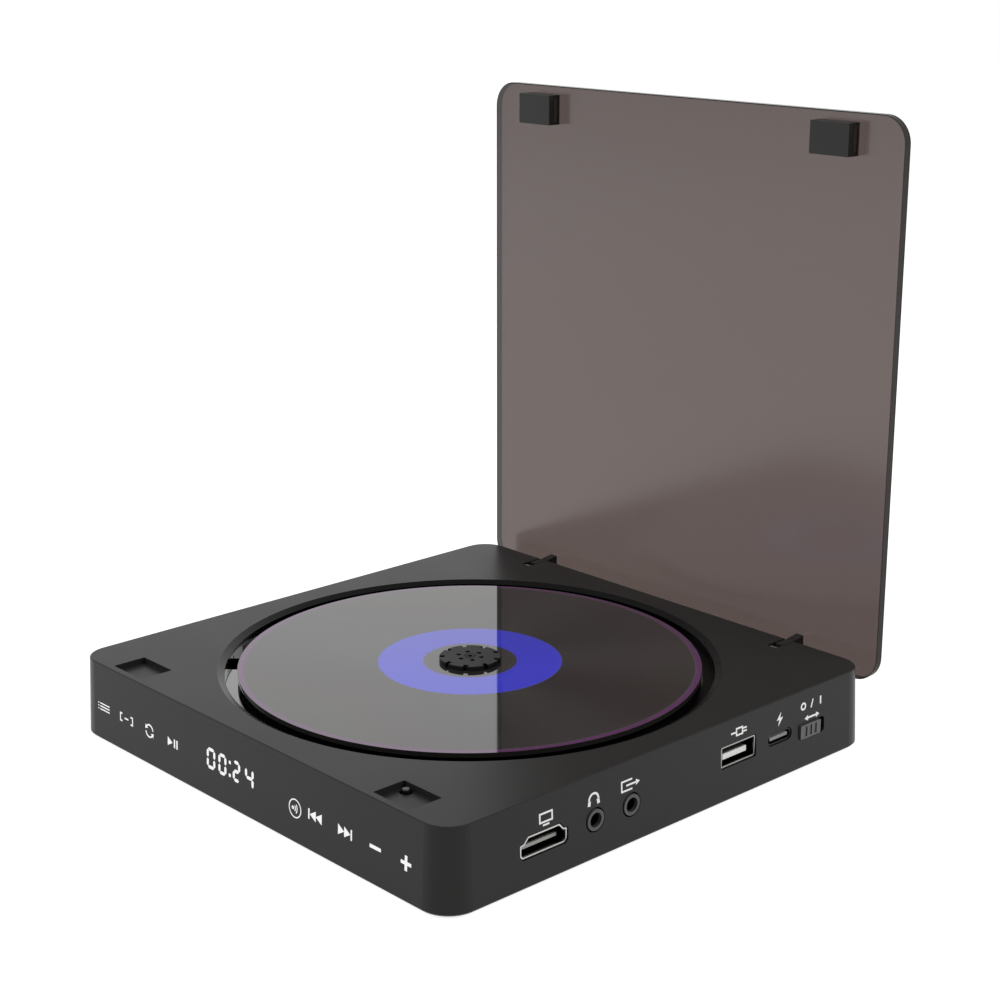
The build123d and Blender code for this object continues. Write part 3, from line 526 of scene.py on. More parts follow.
@dataclass(frozen=True)
class DiscSurface:
    """The disc, in bands by distance from its middle. Each ends at a radius and fades, in mm.

    Clear hub, blue ring with a thin line in it, mirrored data area with a painted rainbow of split
    light and a fan of painted sheen, tinted rim and clear edge. The rainbow's hue is a sine of
    three times the turn plus a share of the distance. The fan is a sum of max(0, cos(turn -
    angle)) to a power, which lowers the metal so that the colour shows as painted sheen.
    """

    name: str = "disc"
    hub_colour: Colour = (0.017, 0.016, 0.015)
    line_colour: Colour = (0.02, 0.02, 0.42)
    ring_colour: Colour = (0.028, 0.032, 0.62)
    data_colour: Colour = (0.15, 0.148, 0.147)
    rim_colour: Colour = (0.085, 0.009, 0.092)
    bands: Points = ((12.2, 0.5), (23.85, 0.4), (58.4, 0.7), (59.85, 0.1))
    line_at: float = 13.0 * MM
    line_half: float = 0.12 * MM
    hue_turns: float = 3.0
    hue_rise: float = 14.0
    rainbow: Pair = (0.35, 0.17)
    rainbow_share: float = 0.08
    track_rate: float = 9000.0
    track_depth: float = 0.03
    fan: Points = ((50, 14), (112, 20), (190, 6), (345, 20))
    sheen: float = 0.1
    roughness: float = 0.035
    mark_amount: float = 0.05
    mark_scale: float = 60.0
    coat: float = 0.4
    ior: float = 1.62

    def data(self, w: Wiring, distance: Socket, turn: Socket) -> Socket:
        """Return the data area's colour: silver, with the painted rainbow and fine tracks.

        Args:
            w: the material's wiring.
            distance: distance from the middle.
            turn: angle about the middle, in radians.

        Returns:
            The colour.
        """
        # Painted light: the rainbow tint stands in for light split by the tracks.
        swing = w.math("SINE", w.math("MULTIPLY", turn, self.hue_turns))
        sweep = w.math("MULTIPLY_ADD", swing, 0.5, 0.5)
        outward = w.math("MULTIPLY", distance, self.hue_rise)
        hue = w.math("FRACT", w.math("MULTIPLY_ADD", sweep, 0.5, outward))
        rainbow = w.add("CombineColor", dict(enumerate((hue, *self.rainbow))), mode="HSV")
        silver = w.mix(self.rainbow_share, (*self.data_colour, 1), rainbow.outputs[0])
        wave = w.math("SINE", w.math("MULTIPLY", distance, self.track_rate))
        return w.scaled(silver, w.math("MULTIPLY_ADD", wave, self.track_depth, 1.0))

    def matt(self, w: Wiring, turn: Socket) -> Socket:
        """Return the share of the mirror that is left along the fan of painted sheen.

        Args:
            w: the material's wiring.
            turn: angle about the middle, in radians.

        Returns:
            The share, 1 between the blades of the fan.
        """
        fan = 0.0
        for angle, power in self.fan:
            facing = w.math("COSINE", w.math("SUBTRACT", turn, math.radians(angle)))
            fan = w.math("ADD", fan, w.math("POWER", w.math("MAXIMUM", facing, 0.0), power))
        return w.math("SUBTRACT", 1.0, w.math("MULTIPLY", fan, self.sheen))

    def build(self) -> Material:
        """Make the material. Each band fades in as the distance passes a radius.

        Returns:
            The material.
        """
        material, w = new_material(self.name)
        x, y, _ = w.place()
        distance = w.length(x, y)
        turn = w.math("ARCTAN2", y, x)
        bands = []
        for end, fade in self.bands:
            past = w.math("SUBTRACT", distance, end * MM)
            bands.append(w.math("MULTIPLY_ADD", past, 1.0 / (fade * MM), 0.5, clamp=True))
        near = w.math("ABSOLUTE", w.math("SUBTRACT", distance, self.line_at))
        line = w.math("LESS_THAN", near, self.line_half)
        ring = w.mix(line, (*self.ring_colour, 1), (*self.line_colour, 1))
        hub = (*self.hub_colour, 1)
        colour = hub
        tones = (ring, self.data(w, distance, turn), (*self.rim_colour, 1), hub)
        for band, tone in zip(bands, tones):
            colour = w.mix(band, colour, tone)
        mirror = w.math("SUBTRACT", bands[1], bands[2])
        clear = w.math("SUBTRACT", 1.0, mirror)
        values = {
            "Roughness": self.roughness, "Amount": self.mark_amount, "Scale": self.mark_scale,
        }
        marks = w.add("Group", values, node_tree=MARKS).outputs
        # Metallic is lowered along the fan of painted sheen.
        w.settle({
            "Base Color": colour, "Metallic": w.math("MULTIPLY", mirror, self.matt(w, turn)),
            "Coat Weight": w.math("MULTIPLY", clear, self.coat),
            "Roughness": marks["Roughness"], "IOR": self.ior,
        })
        return material


BRUSHED = Pattern.BRUSHED
# By material slot of the record, by CAD node, and for the pieces that only the scene has.
FINISHES = {
    "case_grey": CaseFinish(
        "satin case", (0.016, 0.016, 0.0156), 0.33, specular=0.17, dust=0.07, depth=0.00001
    ),
    "well_black": WellFinish(
        "glossy well", (0.004, 0.004, 0.0042), 0.05, specular=1.0, coat=1.0, scale=400.0,
        depth=0.0, roughness_spread=0.03,
    ),
    "smoked_clear": SmokedPlastic(),
    "block_grey": Finish("satin block", (0.014, 0.014, 0.0135), 0.34, specular=0.28),
    "disc_silver": DiscSurface(),
    "hub_dark": HubFinish("satin hub", (0.015, 0.015, 0.015), 0.5, specular=0.2, scale=1500.0),
    "black_plastic": Finish("black plastic", (0.012, 0.012, 0.0125), 0.45),
    "knob_grey": Finish("knob", (0.075, 0.075, 0.075), 0.4, scale=3000.0),
    "tongue_grey": Finish("port tongue", (0.3, 0.3, 0.295), 0.5, depth=0.0),
    # Painted shade inside the port shells, from PortFinish.
    "port_steel": PortFinish(
        "plated port shell", (0.5, 0.49, 0.48), 0.32, metallic=1.0, pattern=BRUSHED, depth=0.0
    ),
    "steel": Finish(
        "bright steel", (0.62, 0.61, 0.6), 0.26, metallic=1.0, pattern=BRUSHED, depth=0.000004
    ),
    "rubber": Finish("rubber", (0.02, 0.02, 0.02), 0.8, specular=0.35, scale=1800.0, dust=0.3),
    "board_green": Finish(
        "solder mask", (0.012, 0.08, 0.035), 0.3, coat=0.4, scale=700.0, spread=0.3
    ),
    "chip_black": Finish("moulded chip", (0.02, 0.02, 0.021), 0.6, scale=5000.0),
    "spreader": Finish("anodised spreader", (0.5, 0.5, 0.5), 0.4, metallic=1.0, pattern=BRUSHED),
    "copper": Finish("copper", (0.72, 0.36, 0.16), 0.3, metallic=1.0, spread=0.2, depth=0.0),
    "film": Finish("amber film", (0.5, 0.25, 0.05), 0.35, coat=0.3, depth=0.0),
    "battery_wrap": Finish(
        "shrink wrap", (0.03, 0.05, 0.16), 0.35, coat=0.3, scale=300.0, spread=0.25
    ),
    "lens_glass": Finish(
        "coated lens", (0.05, 0.06, 0.16), 0.04, coat=1.0, coat_roughness=0.02, scale=900.0,
        depth=0.0,
    ),
}
COLLAR = Finish("jack collar", (0.06, 0.06, 0.06), 0.4, specular=0.4, scale=3000.0)
NODE_FINISHES = {
    "lid_magnets": Finish("dark magnet", (0.1, 0.085, 0.075), 0.45, metallic=1.0, depth=0.0),
    # The port shells and tongues built from PortFinish carry painted shade inward of their front
    # edges.
    "host_port_shell": PortFinish(
        "shaded port shell", (0.32, 0.31, 0.3), 0.35, metallic=1.0, pattern=BRUSHED, depth=0.0
    ),
    "headphone_jack": COLLAR,
    "picture_jack": COLLAR,
    "lid_plunger": Finish("gloss plunger", (0.004, 0.004, 0.004), 0.2, depth=0.0),
    "host_port_tongue": PortFinish(
        "pale port tongue", (0.9, 0.9, 0.88), 0.45, depth=0.0,
        lip=71.55 * MM, reach=0.7 * MM, deep_shade=0.05,
    ),
    "video_port_tongue": PortFinish(
        "grey port tongue", (0.4, 0.4, 0.39), 0.45, depth=0.0,
        lip=71.05 * MM, reach=0.8 * MM, deep_shade=0.1,
    ),
    "charge_port_tongue": Finish("charge port tongue", (0.24, 0.24, 0.235), 0.45, depth=0.0),
    # The shell's near-black colour is painted shade standing in for the port's dark inside.
    "charge_port_shell": Finish(
        "dark port shell", (0.05, 0.05, 0.05), 0.4, metallic=1.0, depth=0.0
    ),
}
EXTRA = {
    "gold": Finish(
        "gold contacts", (0.85, 0.55, 0.2), 0.28, metallic=1.0, spread=0.1, depth=0.0
    ),
    # The jack lining gets the same painted shade inward of its mouth.
    "lining": PortFinish(
        "jack lining", (0.02, 0.02, 0.02), 0.5, specular=0.1, depth=0.0,
        lip=72.5 * MM, reach=0.4 * MM,
    ),
    "ink": Finish("sign ink", (0.95, 0.95, 0.94), 0.5, spread=0.08, scale=6000.0, depth=0.0),
    # The glow on these signs is painted light; they are no lamp.
    "lit": Finish(
        "signs with painted glow", (0.9, 0.9, 0.9), 0.5, spread=0.06, scale=6000.0, depth=0.0, glow=0.3
    ),
}


# --------------------------------------
# Objects and meshes


def put(name: str, data: bpy.types.ID) -> bpy.types.Object:
    """Make an object of the data and put it in the scene."""
    thing = bpy.data.objects.new(name, data)
    bpy.context.scene.collection.objects.link(thing)
    return thing


@dataclass
class Shape:
    """A mesh in the making: points in metres and faces that index them."""

    points: list[np.ndarray] = field(default_factory=list)
    faces: list[tuple[int, ...]] = field(default_factory=list)

    def take(self, points: np.ndarray, faces: list[tuple[int, ...]]) -> None:
        """Add to the mesh.

        Args:
            points: the new points, in metres.
            faces: the new faces, whose numbers start at zero.
        """
        start = sum(len(block) for block in self.points)
        self.points.append(np.asarray(points, dtype=float))
        self.faces.extend(tuple(start + i for i in face) for face in faces)

    def finish(self, name: str, body: str, slot: str, material: Material) -> bpy.types.Object:
        """Turn the shape into an object that rides on a body.

        Args:
            name: the piece's name.
            body: the CAD body it moves with.
            slot: the record's material slot of the piece; not used.
            material: what it is dressed in.

        Returns:
            The object, at the origin with its place in its mesh.
        """
        mesh = bpy.data.meshes.new(name)
        mesh.from_pydata(np.concatenate(self.points).tolist(), [], self.faces)
        mesh.update()
        mesh.materials.append(material)
        piece = put(name, mesh)
        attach(piece, body)
        log.info("%s: %d faces on %s", name, len(self.faces), body)
        return piece


def arc(
    u: float, v: float, radius: float, start: float, end: float, steps: int = 24
) -> np.ndarray:
    """Points on an arc: centre plus radius times (cosine, sine) of angles in degrees."""
    turn = np.radians(np.linspace(start, end, steps))
    return np.column_stack((u + radius * np.cos(turn), v + radius * np.sin(turn)))


def ribbon(
    points: np.ndarray | Points, width: float, closed: bool
) -> tuple[np.ndarray, np.ndarray]:
    """The two edges of a line of even width.

    Each point moves sideways by half the width along its normal, which is the mean of the
    normals of the two legs that meet there, lengthened so that the legs keep their width.

    Args:
        points: the middle line, in mm.
        width: the line's width, in mm.
        closed: whether the last point joins the first.

    Returns:
        The left and the right edge.
    """
    points = np.asarray(points, dtype=float)
    if closed:
        before = points - np.roll(points, 1, axis=0)
        after = np.roll(points, -1, axis=0) - points
    else:
        legs = np.diff(points, axis=0)
        before = np.vstack((legs[:1], legs))
        after = np.vstack((legs, legs[-1:]))
    before /= np.linalg.norm(before, axis=1, keepdims=True)
    after /= np.linalg.norm(after, axis=1, keepdims=True)
    normal = np.column_stack((-(before + after)[:, 1], (before + after)[:, 0]))
    normal /= np.linalg.norm(normal, axis=1, keepdims=True)
    across = np.column_stack((-before[:, 1], before[:, 0]))
    stretch = np.clip(np.sum(normal * across, axis=1, keepdims=True), 0.4, 1.0)
    shift = normal * (width / 2) / stretch
    return points + shift, points - shift


def grid_faces(rows: int, columns: int, joined: bool) -> list[tuple[int, ...]]:
    """Four-sided faces between neighbours on a grid whose columns close into a ring.

    Args:
        rows: how many rows of points there are.
        columns: how many points a row has.
        joined: whether the last row joins the first.

    Returns:
        The faces, as numbers of points counted row by row.
    """
    across = np.arange(columns)
    after = (across + 1) % columns
    row = np.arange(rows if joined else rows - 1)[:, None]
    here, there = row * columns, (row + 1) % rows * columns
    corners = np.stack((here + across, here + after, there + after, there + across), axis=-1)
    return [tuple(face) for face in corners.reshape(-1, 4).tolist()]


# --------------------------------------
# Sub-assemblies


@dataclass
class Case:
    """The case, the loader inside it and every other CAD node: this dresses them all."""

    slots: dict[str, Material] = field(default_factory=dict)

    def dress(self) -> None:
        """Give each CAD node its own finish, or that of its slot in the record."""
        own = {name: finish.build() for name, finish in NODE_FINISHES.items()}
        for name, finish in FINISHES.items():
            self.slots[name] = finish.build()
        for part in frame["record"]["subparts"]:
            node = NODES[part["node"]]
            material = own.get(part["node"], self.slots[part["material_slot"]])
            node.data.materials.clear()
            node.data.materials.append(material)
            log.info("%s: %s", part["node"], material.name)


@dataclass
class Board:
    """The signs of one wall in the making, as thin closed plates, in mm.

    u runs along the wall, to the right of someone facing it, and v is the height. The walls lean
    in by draft for each millimetre up, so a point stands off the wall by a few hundredths:
    front (u, -(depth + lean + rise), v) and right (width + lean + rise, u, v).
    """

    material: Material
    name: str = "signs"
    wall: Wall = Wall.FRONT
    shape: Shape = field(default_factory=Shape)
    half_width: float = 72.5
    half_depth: float = 72.2
    top: float = 21.5
    draft: float = 0.0455
    rises: Pair = (0.004, 0.03)

    def place(self, flat: np.ndarray) -> np.ndarray:
        """Carry flat points onto the wall, at the plate's foot and at its face.

        Args:
            flat: points (u, v) in mm.

        Returns:
            The points in metres, first those of the foot.
        """
        u, v = flat[:, 0], flat[:, 1]
        levels = []
        for rise in self.rises:
            lean = (self.top - v) * self.draft + rise
            front = (u, -(self.half_depth + lean), v)
            right = (self.half_width + lean, u, v)
            levels.append(np.column_stack(front if self.wall is Wall.FRONT else right) * MM)
        return np.concatenate(levels)

    def stroke(self, points: np.ndarray | Points, width: float, closed: bool = False) -> None:
        """Add a line of even width as a plate with a rectangular section.

        Args:
            points: its middle line.
            width: its width.
            closed: whether it joins up with itself.
        """
        edges = ribbon(points, width, closed)
        count = len(edges[0])
        low_left, low_right, high_left, high_right = (count * ring for ring in range(4))
        i = np.arange(count if closed else count - 1)
        j = (i + 1) % count
        sides = np.array((
            (high_left + i, high_right + i, high_right + j, high_left + j),
            (low_left + j, low_right + j, low_right + i, low_left + i),
            (high_left + j, low_left + j, low_left + i, high_left + i),
            (high_right + i, low_right + i, low_right + j, high_right + j),
        ))
        faces = [tuple(face) for face in sides.transpose(2, 0, 1).reshape(-1, 4).tolist()]
        if not closed:
            for i, order in ((0, 1), (count - 1, -1)):
                end = (high_left + i, low_left + i, low_right + i, high_right + i)
                faces.append(end[::order])
        self.shape.take(self.place(np.concatenate(edges)), faces)

    def fill(self, points: list) -> None:
        """Add a solid figure.

        Args:
            points: its outline, which runs anticlockwise.
        """
        count = len(points)
        faces = [tuple(range(count, 2 * count)), tuple(range(count - 1, -1, -1))]
        for i in range(count):
            j = (i + 1) % count
            faces.append((i, j, count + j, count + i))
        self.shape.take(self.place(np.array(points, dtype=float)), faces)

    def level(self, ends: Pair, v: float, width: float) -> None:
        """Add a line along the wall, from one u to another."""
        self.stroke([(u, v) for u in ends], width)

    def upright(self, u: float, ends: Pair, width: float) -> None:
        """Add a line up the wall, from one v to another."""
        self.stroke([(u, v) for v in ends], width)

    def pointer(self, base: float, tip: float, v: float, half: float) -> None:
        """Add a triangle that points along the wall, from its base to its tip."""
        corners = [(base, v - half), (tip, v), (base, v + half)]
        self.fill(corners if tip > base else corners[::-1])

    def draw(self) -> None:
        """Add the signs. A plain board has none."""

    def build(self) -> None:
        """Build all the signs of the wall as one piece."""
        self.draw()
        self.shape.finish(self.name, "case", "case_grey", self.material)


@dataclass
class FrontSigns(Board):
    """The key signs and clock digits on the front wall, with a painted glow.

    From the left: a list, a dash in brackets, a turn, play and pause, the clock, waves in a
    ring, skip back, skip on, minus and plus.
    """

    name: str = "front_signs"
    middle: float = 10.0
    rows: tuple[float, ...] = (-0.8, 0.0, 0.8)
    row_ends: Points = ((-63.7, -63.2), (-62.7, -58.3))
    brackets_at: float = -50.35
    bracket: Points = ((1.9, 1.0), (2.8, 1.0), (2.8, -1.0), (1.9, -1.0))
    dash: Pair = (-51.2, -49.5)
    turn_at: Pair = (-39.8, 10.0)
    turn_radius: float = 1.6
    turn_sweep: float = 128.0
    play: Pair = (-31.6, -29.5)
    play_half: float = 1.15
    pause: Pair = (-28.65, -27.55)
    clock: tuple[tuple[float, float, str], ...] = (
        (-14.75, -11.2, "abcdef"), (-9.9, -6.6, "abcdef"), (-4.0, -1.0, "abged"),
        (0.95, 4.4, "fgbc"),
    )
    clock_ends: Pair = (8.4, 13.8)
    bar_half: float = 0.42
    bar_gap: float = 0.1
    colon: Pair = (-5.6, -4.8)
    colon_heights: Pair = (9.3, 12.6)
    ring_at: float = 20.5
    waves_at: Pair = (19.7, 9.5)
    skips: tuple[tuple[float, int], ...] = ((27.95, -1), (38.9, 1))
    skip_half: float = 1.3
    minus: Pair = (47.6, 51.5)
    plus_at: Pair = (60.0, 10.1)
    plus_reach: Pair = (1.75, 1.8)
    bold: float = 0.85

    def keys(self) -> None:
        """Add the list, the dash in brackets, the turn with its arrow heads, play and pause."""
        for row in self.rows:
            for ends in self.row_ends:
                self.level(ends, self.middle + row, 0.32)
        for side in (-1, 1):
            at = self.brackets_at
            self.stroke([(at + side * u, self.middle + v) for u, v in self.bracket], 0.4)
        self.level(self.dash, self.middle, 0.4)
        for start in (10.0, 190.0):
            stop = start + self.turn_sweep
            self.stroke(arc(*self.turn_at, self.turn_radius, start, stop), 0.42)
            end = math.radians(stop)
            aside = np.array((math.cos(end), math.sin(end)))
            ahead = np.array((-math.sin(end), math.cos(end)))
            tip = np.array(self.turn_at) + self.turn_radius * aside
            self.fill([tip - 0.7 * aside, tip + 0.7 * aside, tip + 1.0 * ahead])
        self.pointer(*self.play, self.middle, self.play_half)
        for u in self.pause:
            self.upright(u, (self.middle - self.play_half, self.middle + self.play_half), 0.55)

    def digit(self, left: float, right: float, lit: str) -> None:
        """Add a digit of seven bars, each a long hexagon.

        Args:
            left: its left side.
            right: its right side.
            lit: which bars show, from a to g, clockwise from the top, g in the middle.
        """
        half = self.bar_half
        mid = sum(self.clock_ends) / 2
        x0, x1 = left + half, right - half
        z0, z1 = self.clock_ends[0] + half, self.clock_ends[1] - half
        bars = {
            "a": ((x0, z1), (x1, z1)), "b": ((x1, z1), (x1, mid)), "c": ((x1, mid), (x1, z0)),
            "d": ((x0, z0), (x1, z0)), "e": ((x0, mid), (x0, z0)), "f": ((x0, z1), (x0, mid)),
            "g": ((x0, mid), (x1, mid)),
        }
        for key in lit:
            start, end = (np.array(point) for point in bars[key])
            along = (end - start) / np.linalg.norm(end - start)
            side = np.array((-along[1], along[0]))
            start = start + along * self.bar_gap
            end = end - along * self.bar_gap
            self.fill([
                start, start + (along - side) * half, end - (along + side) * half,
                end, end - (along - side) * half, start + (along + side) * half,
            ])

    def draw(self) -> None:
        """Add the keys on the left, the clock with its two dots, and the signs on the right."""
        self.keys()
        for left, right, lit in self.clock:
            self.digit(left, right, lit)
        for v in self.colon_heights:
            self.level(self.colon, v, self.colon[1] - self.colon[0])
        self.stroke(arc(self.ring_at, self.waves_at[1], 2.2, 0, 352.5, 48), 0.3, closed=True)
        self.stroke(arc(*self.waves_at, 0.3, 0, 330, 12), 0.3, closed=True)
        for radius in (0.95, 1.6):
            self.stroke(arc(*self.waves_at, radius, -42, 42, 12), 0.3)
        ends = (self.middle - self.skip_half, self.middle + self.skip_half)
        for mid, side in self.skips:
            self.upright(mid + side * 2.25, ends, 0.5)
            for step in (-2.5, -0.3):
                start = mid + side * step
                self.pointer(start, start + side * 2.2, self.middle, self.skip_half)
        self.level(self.minus, self.middle, self.bold)
        at, height = self.plus_at
        self.level((at - self.plus_reach[0], at + self.plus_reach[0]), height, self.bold)
        for side in (-1, 1):
            ends = (height + side * self.bold / 2, height + side * self.plus_reach[1])
            self.upright(at, ends, self.bold)


@dataclass
class SideSigns(Board):
    """The printed signs over the ports and the switch on the right wall."""

    name: str = "side_signs"
    wall: Wall = Wall.RIGHT
    line: float = 0.44
    phones_at: float = -28.0
    exit: Points = ((-15.4, 14.3), (-18.9, 14.3), (-18.9, 16.7), (-15.4, 16.7))
    bolt_at: Pair = (37.4, 16.4)
    bolt: Points = (
        (0.55, 1.8), (-1.2, -0.15), (-0.15, -0.15), (-0.65, -1.8), (1.2, 0.35), (0.1, 0.35),
    )
    switch_at: float = 50.0
    switch_ends: Pair = (16.15, 18.25)
    arrow_height: float = 13.75

    def box(self, left: float, right: float, low: float, high: float) -> None:
        """Add the outline of a rectangle."""
        corners = [(left, low), (right, low), (right, high), (left, high)]
        self.stroke(corners, self.line, closed=True)

    def draw(self) -> None:
        """Add screen, headphones, way out, plug and bolt, then the signs over the switch.

        Those are a ring, a slash, a bar and a two-way arrow.
        """
        self.box(-44.9, -41.1, 14.95, 17.0)
        self.level((-44.0, -42.0), 14.2, self.line)
        self.stroke(arc(self.phones_at, 15.4, 1.5, -12, 192), 0.52)
        for side in (-1, 1):
            ear = ((self.phones_at + side * 1.55, 14.1), (self.phones_at + side * 1.35, 15.3))
            self.stroke(ear, 0.85)
        self.stroke(self.exit, self.line)
        self.level((-17.4, -14.0), 15.5, 0.46)
        self.pointer(-14.2, -12.9, 15.5, 0.75)
        self.box(21.1, 23.3, 16.75, 18.45)
        self.level((19.1, 20.95), 17.6, self.line)
        for v in (17.2, 18.0):
            self.level((23.45, 24.9), v, 0.42)
        self.fill([(self.bolt_at[0] + u, self.bolt_at[1] + v) for u, v in self.bolt])
        at, height = self.switch_at, self.arrow_height
        low, high = self.switch_ends
        self.stroke(arc(at - 3.4, (low + high) / 2, 0.8, 0, 345, 24), 0.5, closed=True)
        self.stroke(((at - 0.4, low), (at + 0.4, high)), self.line)
        self.upright(at + 3.4, self.switch_ends, 0.55)
        self.level((at - 1.7, at + 1.7), height, 0.5)
        for side in (-1, 1):
            tip = at + side * 2.9
            self.pointer(tip - side * 1.3, tip, height, 0.75)


@dataclass(frozen=True)
class ContactRow:
    """A row of contacts on one face of a port's tongue, in mm. Below 0, out points down."""

    count: int
    first: float
    last: float
    back: float
    front: float
    half_width: float
    height: float
    out: float


@dataclass
class Ports:
    """Contacts on the port tongues and the linings of the round jacks, in mm."""

    gold: Material
    lining: Material
    rows: tuple[ContactRow, ...] = (
        ContactRow(10, -48.4, -38.8, 63.2, 70.6, 0.25, 9.25, -0.06),
        ContactRow(10, -48.4, -38.8, 63.2, 70.6, 0.25, 10.05, 0.06),
        ContactRow(4, 18.8, 25.1, 61.7, 70.2, 0.55, 11.0, -0.08),
        ContactRow(8, 35.0, 39.8, 65.2, 71.3, 0.14, 11.35, -0.05),
        ContactRow(8, 35.0, 39.8, 65.2, 71.3, 0.14, 12.15, 0.05),
    )
    sunk_share: float = 0.2
    jack_ys: Pair = (-27.6, -15.75)
    jack_z: float = 10.35
    jack_steps: int = 48
    jack_profile: Points = (
        (59.6, 1.62), (72.4, 1.62), (72.5, 1.68), (72.5, 1.79), (59.5, 1.79), (59.5, 1.62),
    )

    def contacts(self) -> None:
        """Build the rows of contacts, evenly spaced thin plates across each tongue."""
        shape = Shape()
        faces = [
            (3, 2, 1, 0), (4, 5, 6, 7), (0, 1, 5, 4), (1, 2, 6, 5), (2, 3, 7, 6), (3, 0, 4, 7),
        ]
        for row in self.rows:
            heights = sorted((row.height - row.out * self.sunk_share, row.height + row.out))
            for y in np.linspace(row.first, row.last, row.count):
                near, far = y - row.half_width, y + row.half_width
                base = ((row.back, near), (row.front, near), (row.front, far), (row.back, far))
                corners = np.array([(x, side, z) for z in heights for x, side in base])
                shape.take(corners * MM, faces)
        shape.finish("port_contacts", "case", "copper", self.gold)

    def linings(self) -> None:
        """Build the jack linings.

        Each is a profile of distance along x and radius, turned about the jack's middle line:
        the tube's inside, its mouth, its outside and its back, joined round.
        """
        profile = np.array(self.jack_profile)
        turn = np.linspace(0, 2 * np.pi, self.jack_steps, endpoint=False)
        along = np.repeat(profile[:, 0][:, None], self.jack_steps, axis=1)
        radius = profile[:, 1][:, None]
        up = self.jack_z + radius * np.sin(turn)
        shape = Shape()
        for y in self.jack_ys:
            points = np.stack((along, y + radius * np.cos(turn), up), axis=-1).reshape(-1, 3)
            shape.take(points * MM, grid_faces(len(profile), self.jack_steps, joined=True))
        shape.finish("jack_linings", "case", "steel", self.lining)


@dataclass
class PlungerCoil:
    """The coil spring under the lid plunger, built at one height, in mm.

    Its middle line is (radius cos t, radius sin t, height t / T) from the foot, for t from 0 to T,
    two pi times the turns. Its section is a circle in the plane of the outward direction and of
    the one square to that and to the line.
    """

    steel: Material
    middle: Pair = (48.7, -62.95)
    seat: float = 11.6
    foot: float = 11.75
    height: float = 1.5
    radius: float = 1.4
    wire: float = 0.14
    turns: int = 3
    steps: int = 32
    sides: int = 12
    pressed_share: float = 0.44

    def points(self) -> np.ndarray:
        """Work out the surface of the wire, row by row from the foot.

        Returns:
            The points, in mm.
        """
        turn = np.linspace(0, 2 * np.pi * self.turns, self.turns * self.steps + 1)
        rise = self.height / turn[-1]
        level = np.zeros_like(turn)
        outward = np.column_stack((np.cos(turn), np.sin(turn), level))
        foot = np.array((*self.middle, self.foot))
        line = outward * self.radius + foot + np.outer(turn, (0, 0, rise))
        sideways = np.column_stack((-np.sin(turn), np.cos(turn), level)) * self.radius
        along = sideways + (0, 0, rise)
        along /= np.linalg.norm(along, axis=1, keepdims=True)
        across = np.cross(along, outward)
        section = np.linspace(0, 2 * np.pi, self.sides, endpoint=False)[None, :, None]
        circle = np.cos(section) * outward[:, None] + np.sin(section) * across[:, None]
        return (line[:, None] + self.wire * circle).reshape(-1, 3)

    def build(self) -> None:
        """Build the coil in place of the CAD spring, and hide that spring."""
        rows = self.turns * self.steps + 1
        faces = grid_faces(rows, self.sides, joined=False)
        faces.append(tuple(range(self.sides - 1, -1, -1)))
        faces.append(tuple(range((rows - 1) * self.sides, rows * self.sides)))
        shape = Shape()
        shape.take(self.points() * MM, faces)
        coil = shape.finish("plunger_coil", "case", "steel", self.steel)
        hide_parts("plunger_spring")
        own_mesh(coil)


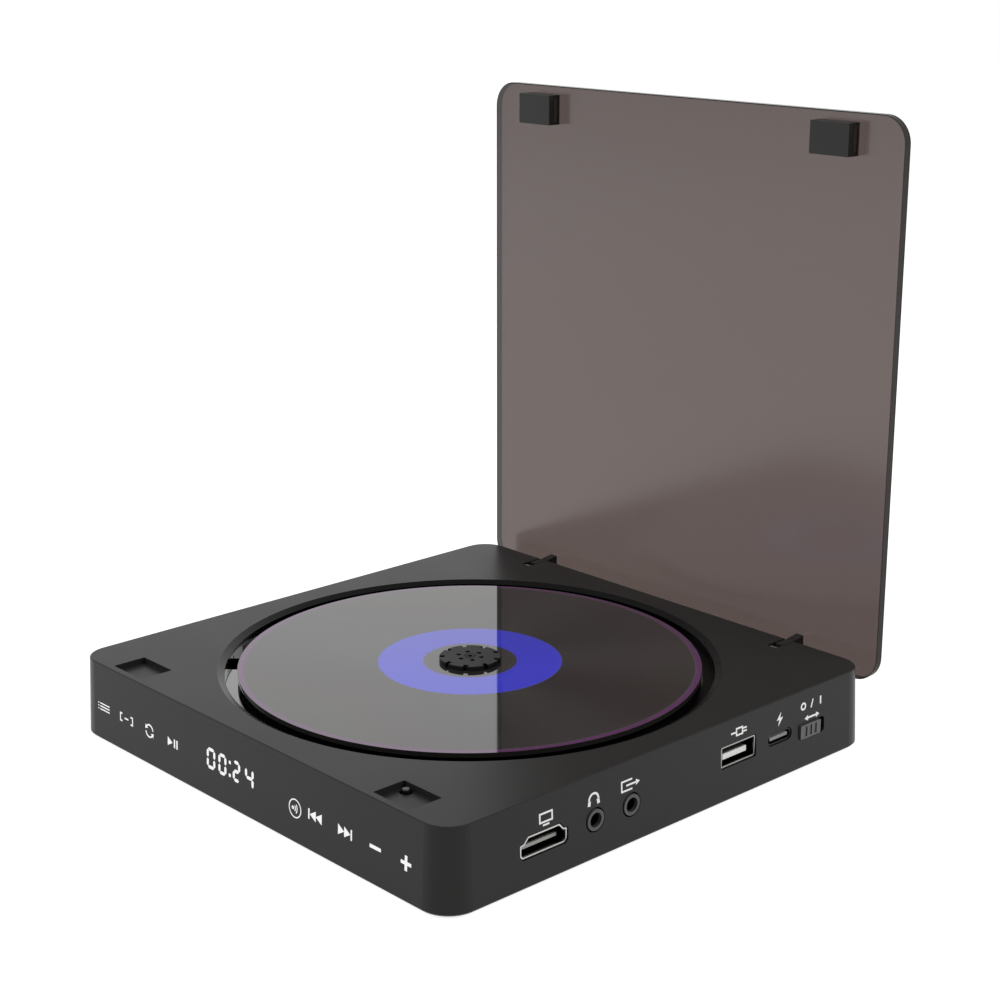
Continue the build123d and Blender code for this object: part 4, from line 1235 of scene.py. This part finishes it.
@dataclass
class Studio:
    """Camera, lamps, pale floor and white surroundings, in metres and watts.

    A lamp is a name, its direction from the object in the plan, in degrees from +X, and a power.
    """

    camera_at: tuple[float, float, float] = (0.3613, -0.3242, 0.20692)
    camera_turn: tuple[float, float, float] = (73.66, 0.0, 47.18)
    lens: float = 71.8
    sensor: float = 36.0
    clip: Pair = (0.01, 50.0)
    surround: float = 0.35
    floor_tone: float = 0.46
    floor_glow: float = 0.84
    floor_half: float = 12.0
    lamps: tuple[tuple[str, float, float], ...] = (
        ("front lamp", 242.0, 9.5), ("right lamp", 28.0, 10.5),
    )
    lamp_height: float = 0.8
    lamp_reach: float = 1.1
    lamp_side: float = 0.8

    def camera(self) -> None:
        """Set up the camera at the photograph's viewing angle."""
        data = bpy.data.cameras.new("camera")
        data.lens = self.lens
        data.sensor_width = self.sensor
        data.clip_start, data.clip_end = self.clip
        camera = put("camera", data)
        camera.location = self.camera_at
        camera.rotation_euler = tuple(math.radians(a) for a in self.camera_turn)
        bpy.context.scene.camera = camera

    def shown(self, w: Wiring) -> Socket:
        """Tell the rays that show the surroundings from other light.

        Args:
            w: the wiring of the world or of a material.

        Returns:
            A mask, 1 for rays from the camera, from gloss and through glass.
        """
        path = w.add("LightPath").outputs
        seen = w.math("MAXIMUM", path["Is Camera Ray"], path["Is Glossy Ray"])
        return w.math("MAXIMUM", seen, path["Is Transmission Ray"])

    def world(self) -> None:
        """Make the surroundings white where they are shown, and plain for other light."""
        world = bpy.data.worlds.new("surroundings")
        world.use_nodes = True
        bpy.context.scene.world = world
        w = Wiring(world.node_tree)
        strength = w.math("MULTIPLY_ADD", self.shown(w), 1.0 - self.surround, self.surround)
        background = world.node_tree.nodes["Background"].inputs
        w.feed({"Color": (1, 1, 1, 1), "Strength": strength}, background)

    def floor(self) -> None:
        """Lay the floor: pale, with the object's shadow, and bright where it is shown."""
        material, w = new_material("pale floor")
        w.settle({
            "Roughness": 1.0, "Specular IOR Level": 0.0,
            "Base Color": (*(self.floor_tone,) * 3, 1), "Emission Color": (1, 1, 1, 1),
            "Emission Strength": w.math("MULTIPLY", self.shown(w), self.floor_glow),
        })
        mesh = bpy.data.meshes.new("floor")
        signs = ((-1, -1), (1, -1), (1, 1), (-1, 1))
        corners = [(x * self.floor_half, y * self.floor_half, 0) for x, y in signs]
        mesh.from_pydata(corners, [], [(0, 1, 2, 3)])
        mesh.materials.append(material)
        floor = put("floor", mesh)

    def light(self) -> None:
        """Add the soft square lamps, aimed at the object, which don't show in gloss."""
        height, reach = self.lamp_height, self.lamp_reach
        for name, azimuth, power in self.lamps:
            data = bpy.data.lights.new(name, "AREA")
            data.size = self.lamp_side
            data.energy = power
            lamp = put(name, data)
            turn = math.radians(azimuth)
            lamp.location = (reach * math.cos(turn), reach * math.sin(turn), height)
            lamp.rotation_euler = (math.atan2(reach, height), 0, turn + math.pi / 2)
            lamp.visible_glossy = False

    def build(self) -> None:
        """Build the whole studio."""
        self.camera()
        self.world()
        self.floor()
        self.light()
        bpy.context.scene.view_settings.view_transform = "Standard"


def main() -> None:
    """Build every sub-assembly in order."""
    logging.basicConfig(level=logging.INFO, format="%(name)s: %(message)s")
    case = Case()
    case.dress()
    extra = {name: finish.build() for name, finish in EXTRA.items()}
    ports = Ports(extra["gold"], extra["lining"])
    ports.contacts()
    ports.linings()
    PlungerCoil(case.slots["steel"]).build()
    FrontSigns(extra["lit"]).build()
    SideSigns(extra["ink"]).build()
    Studio().build()


if __name__ == "__main__":
    main()
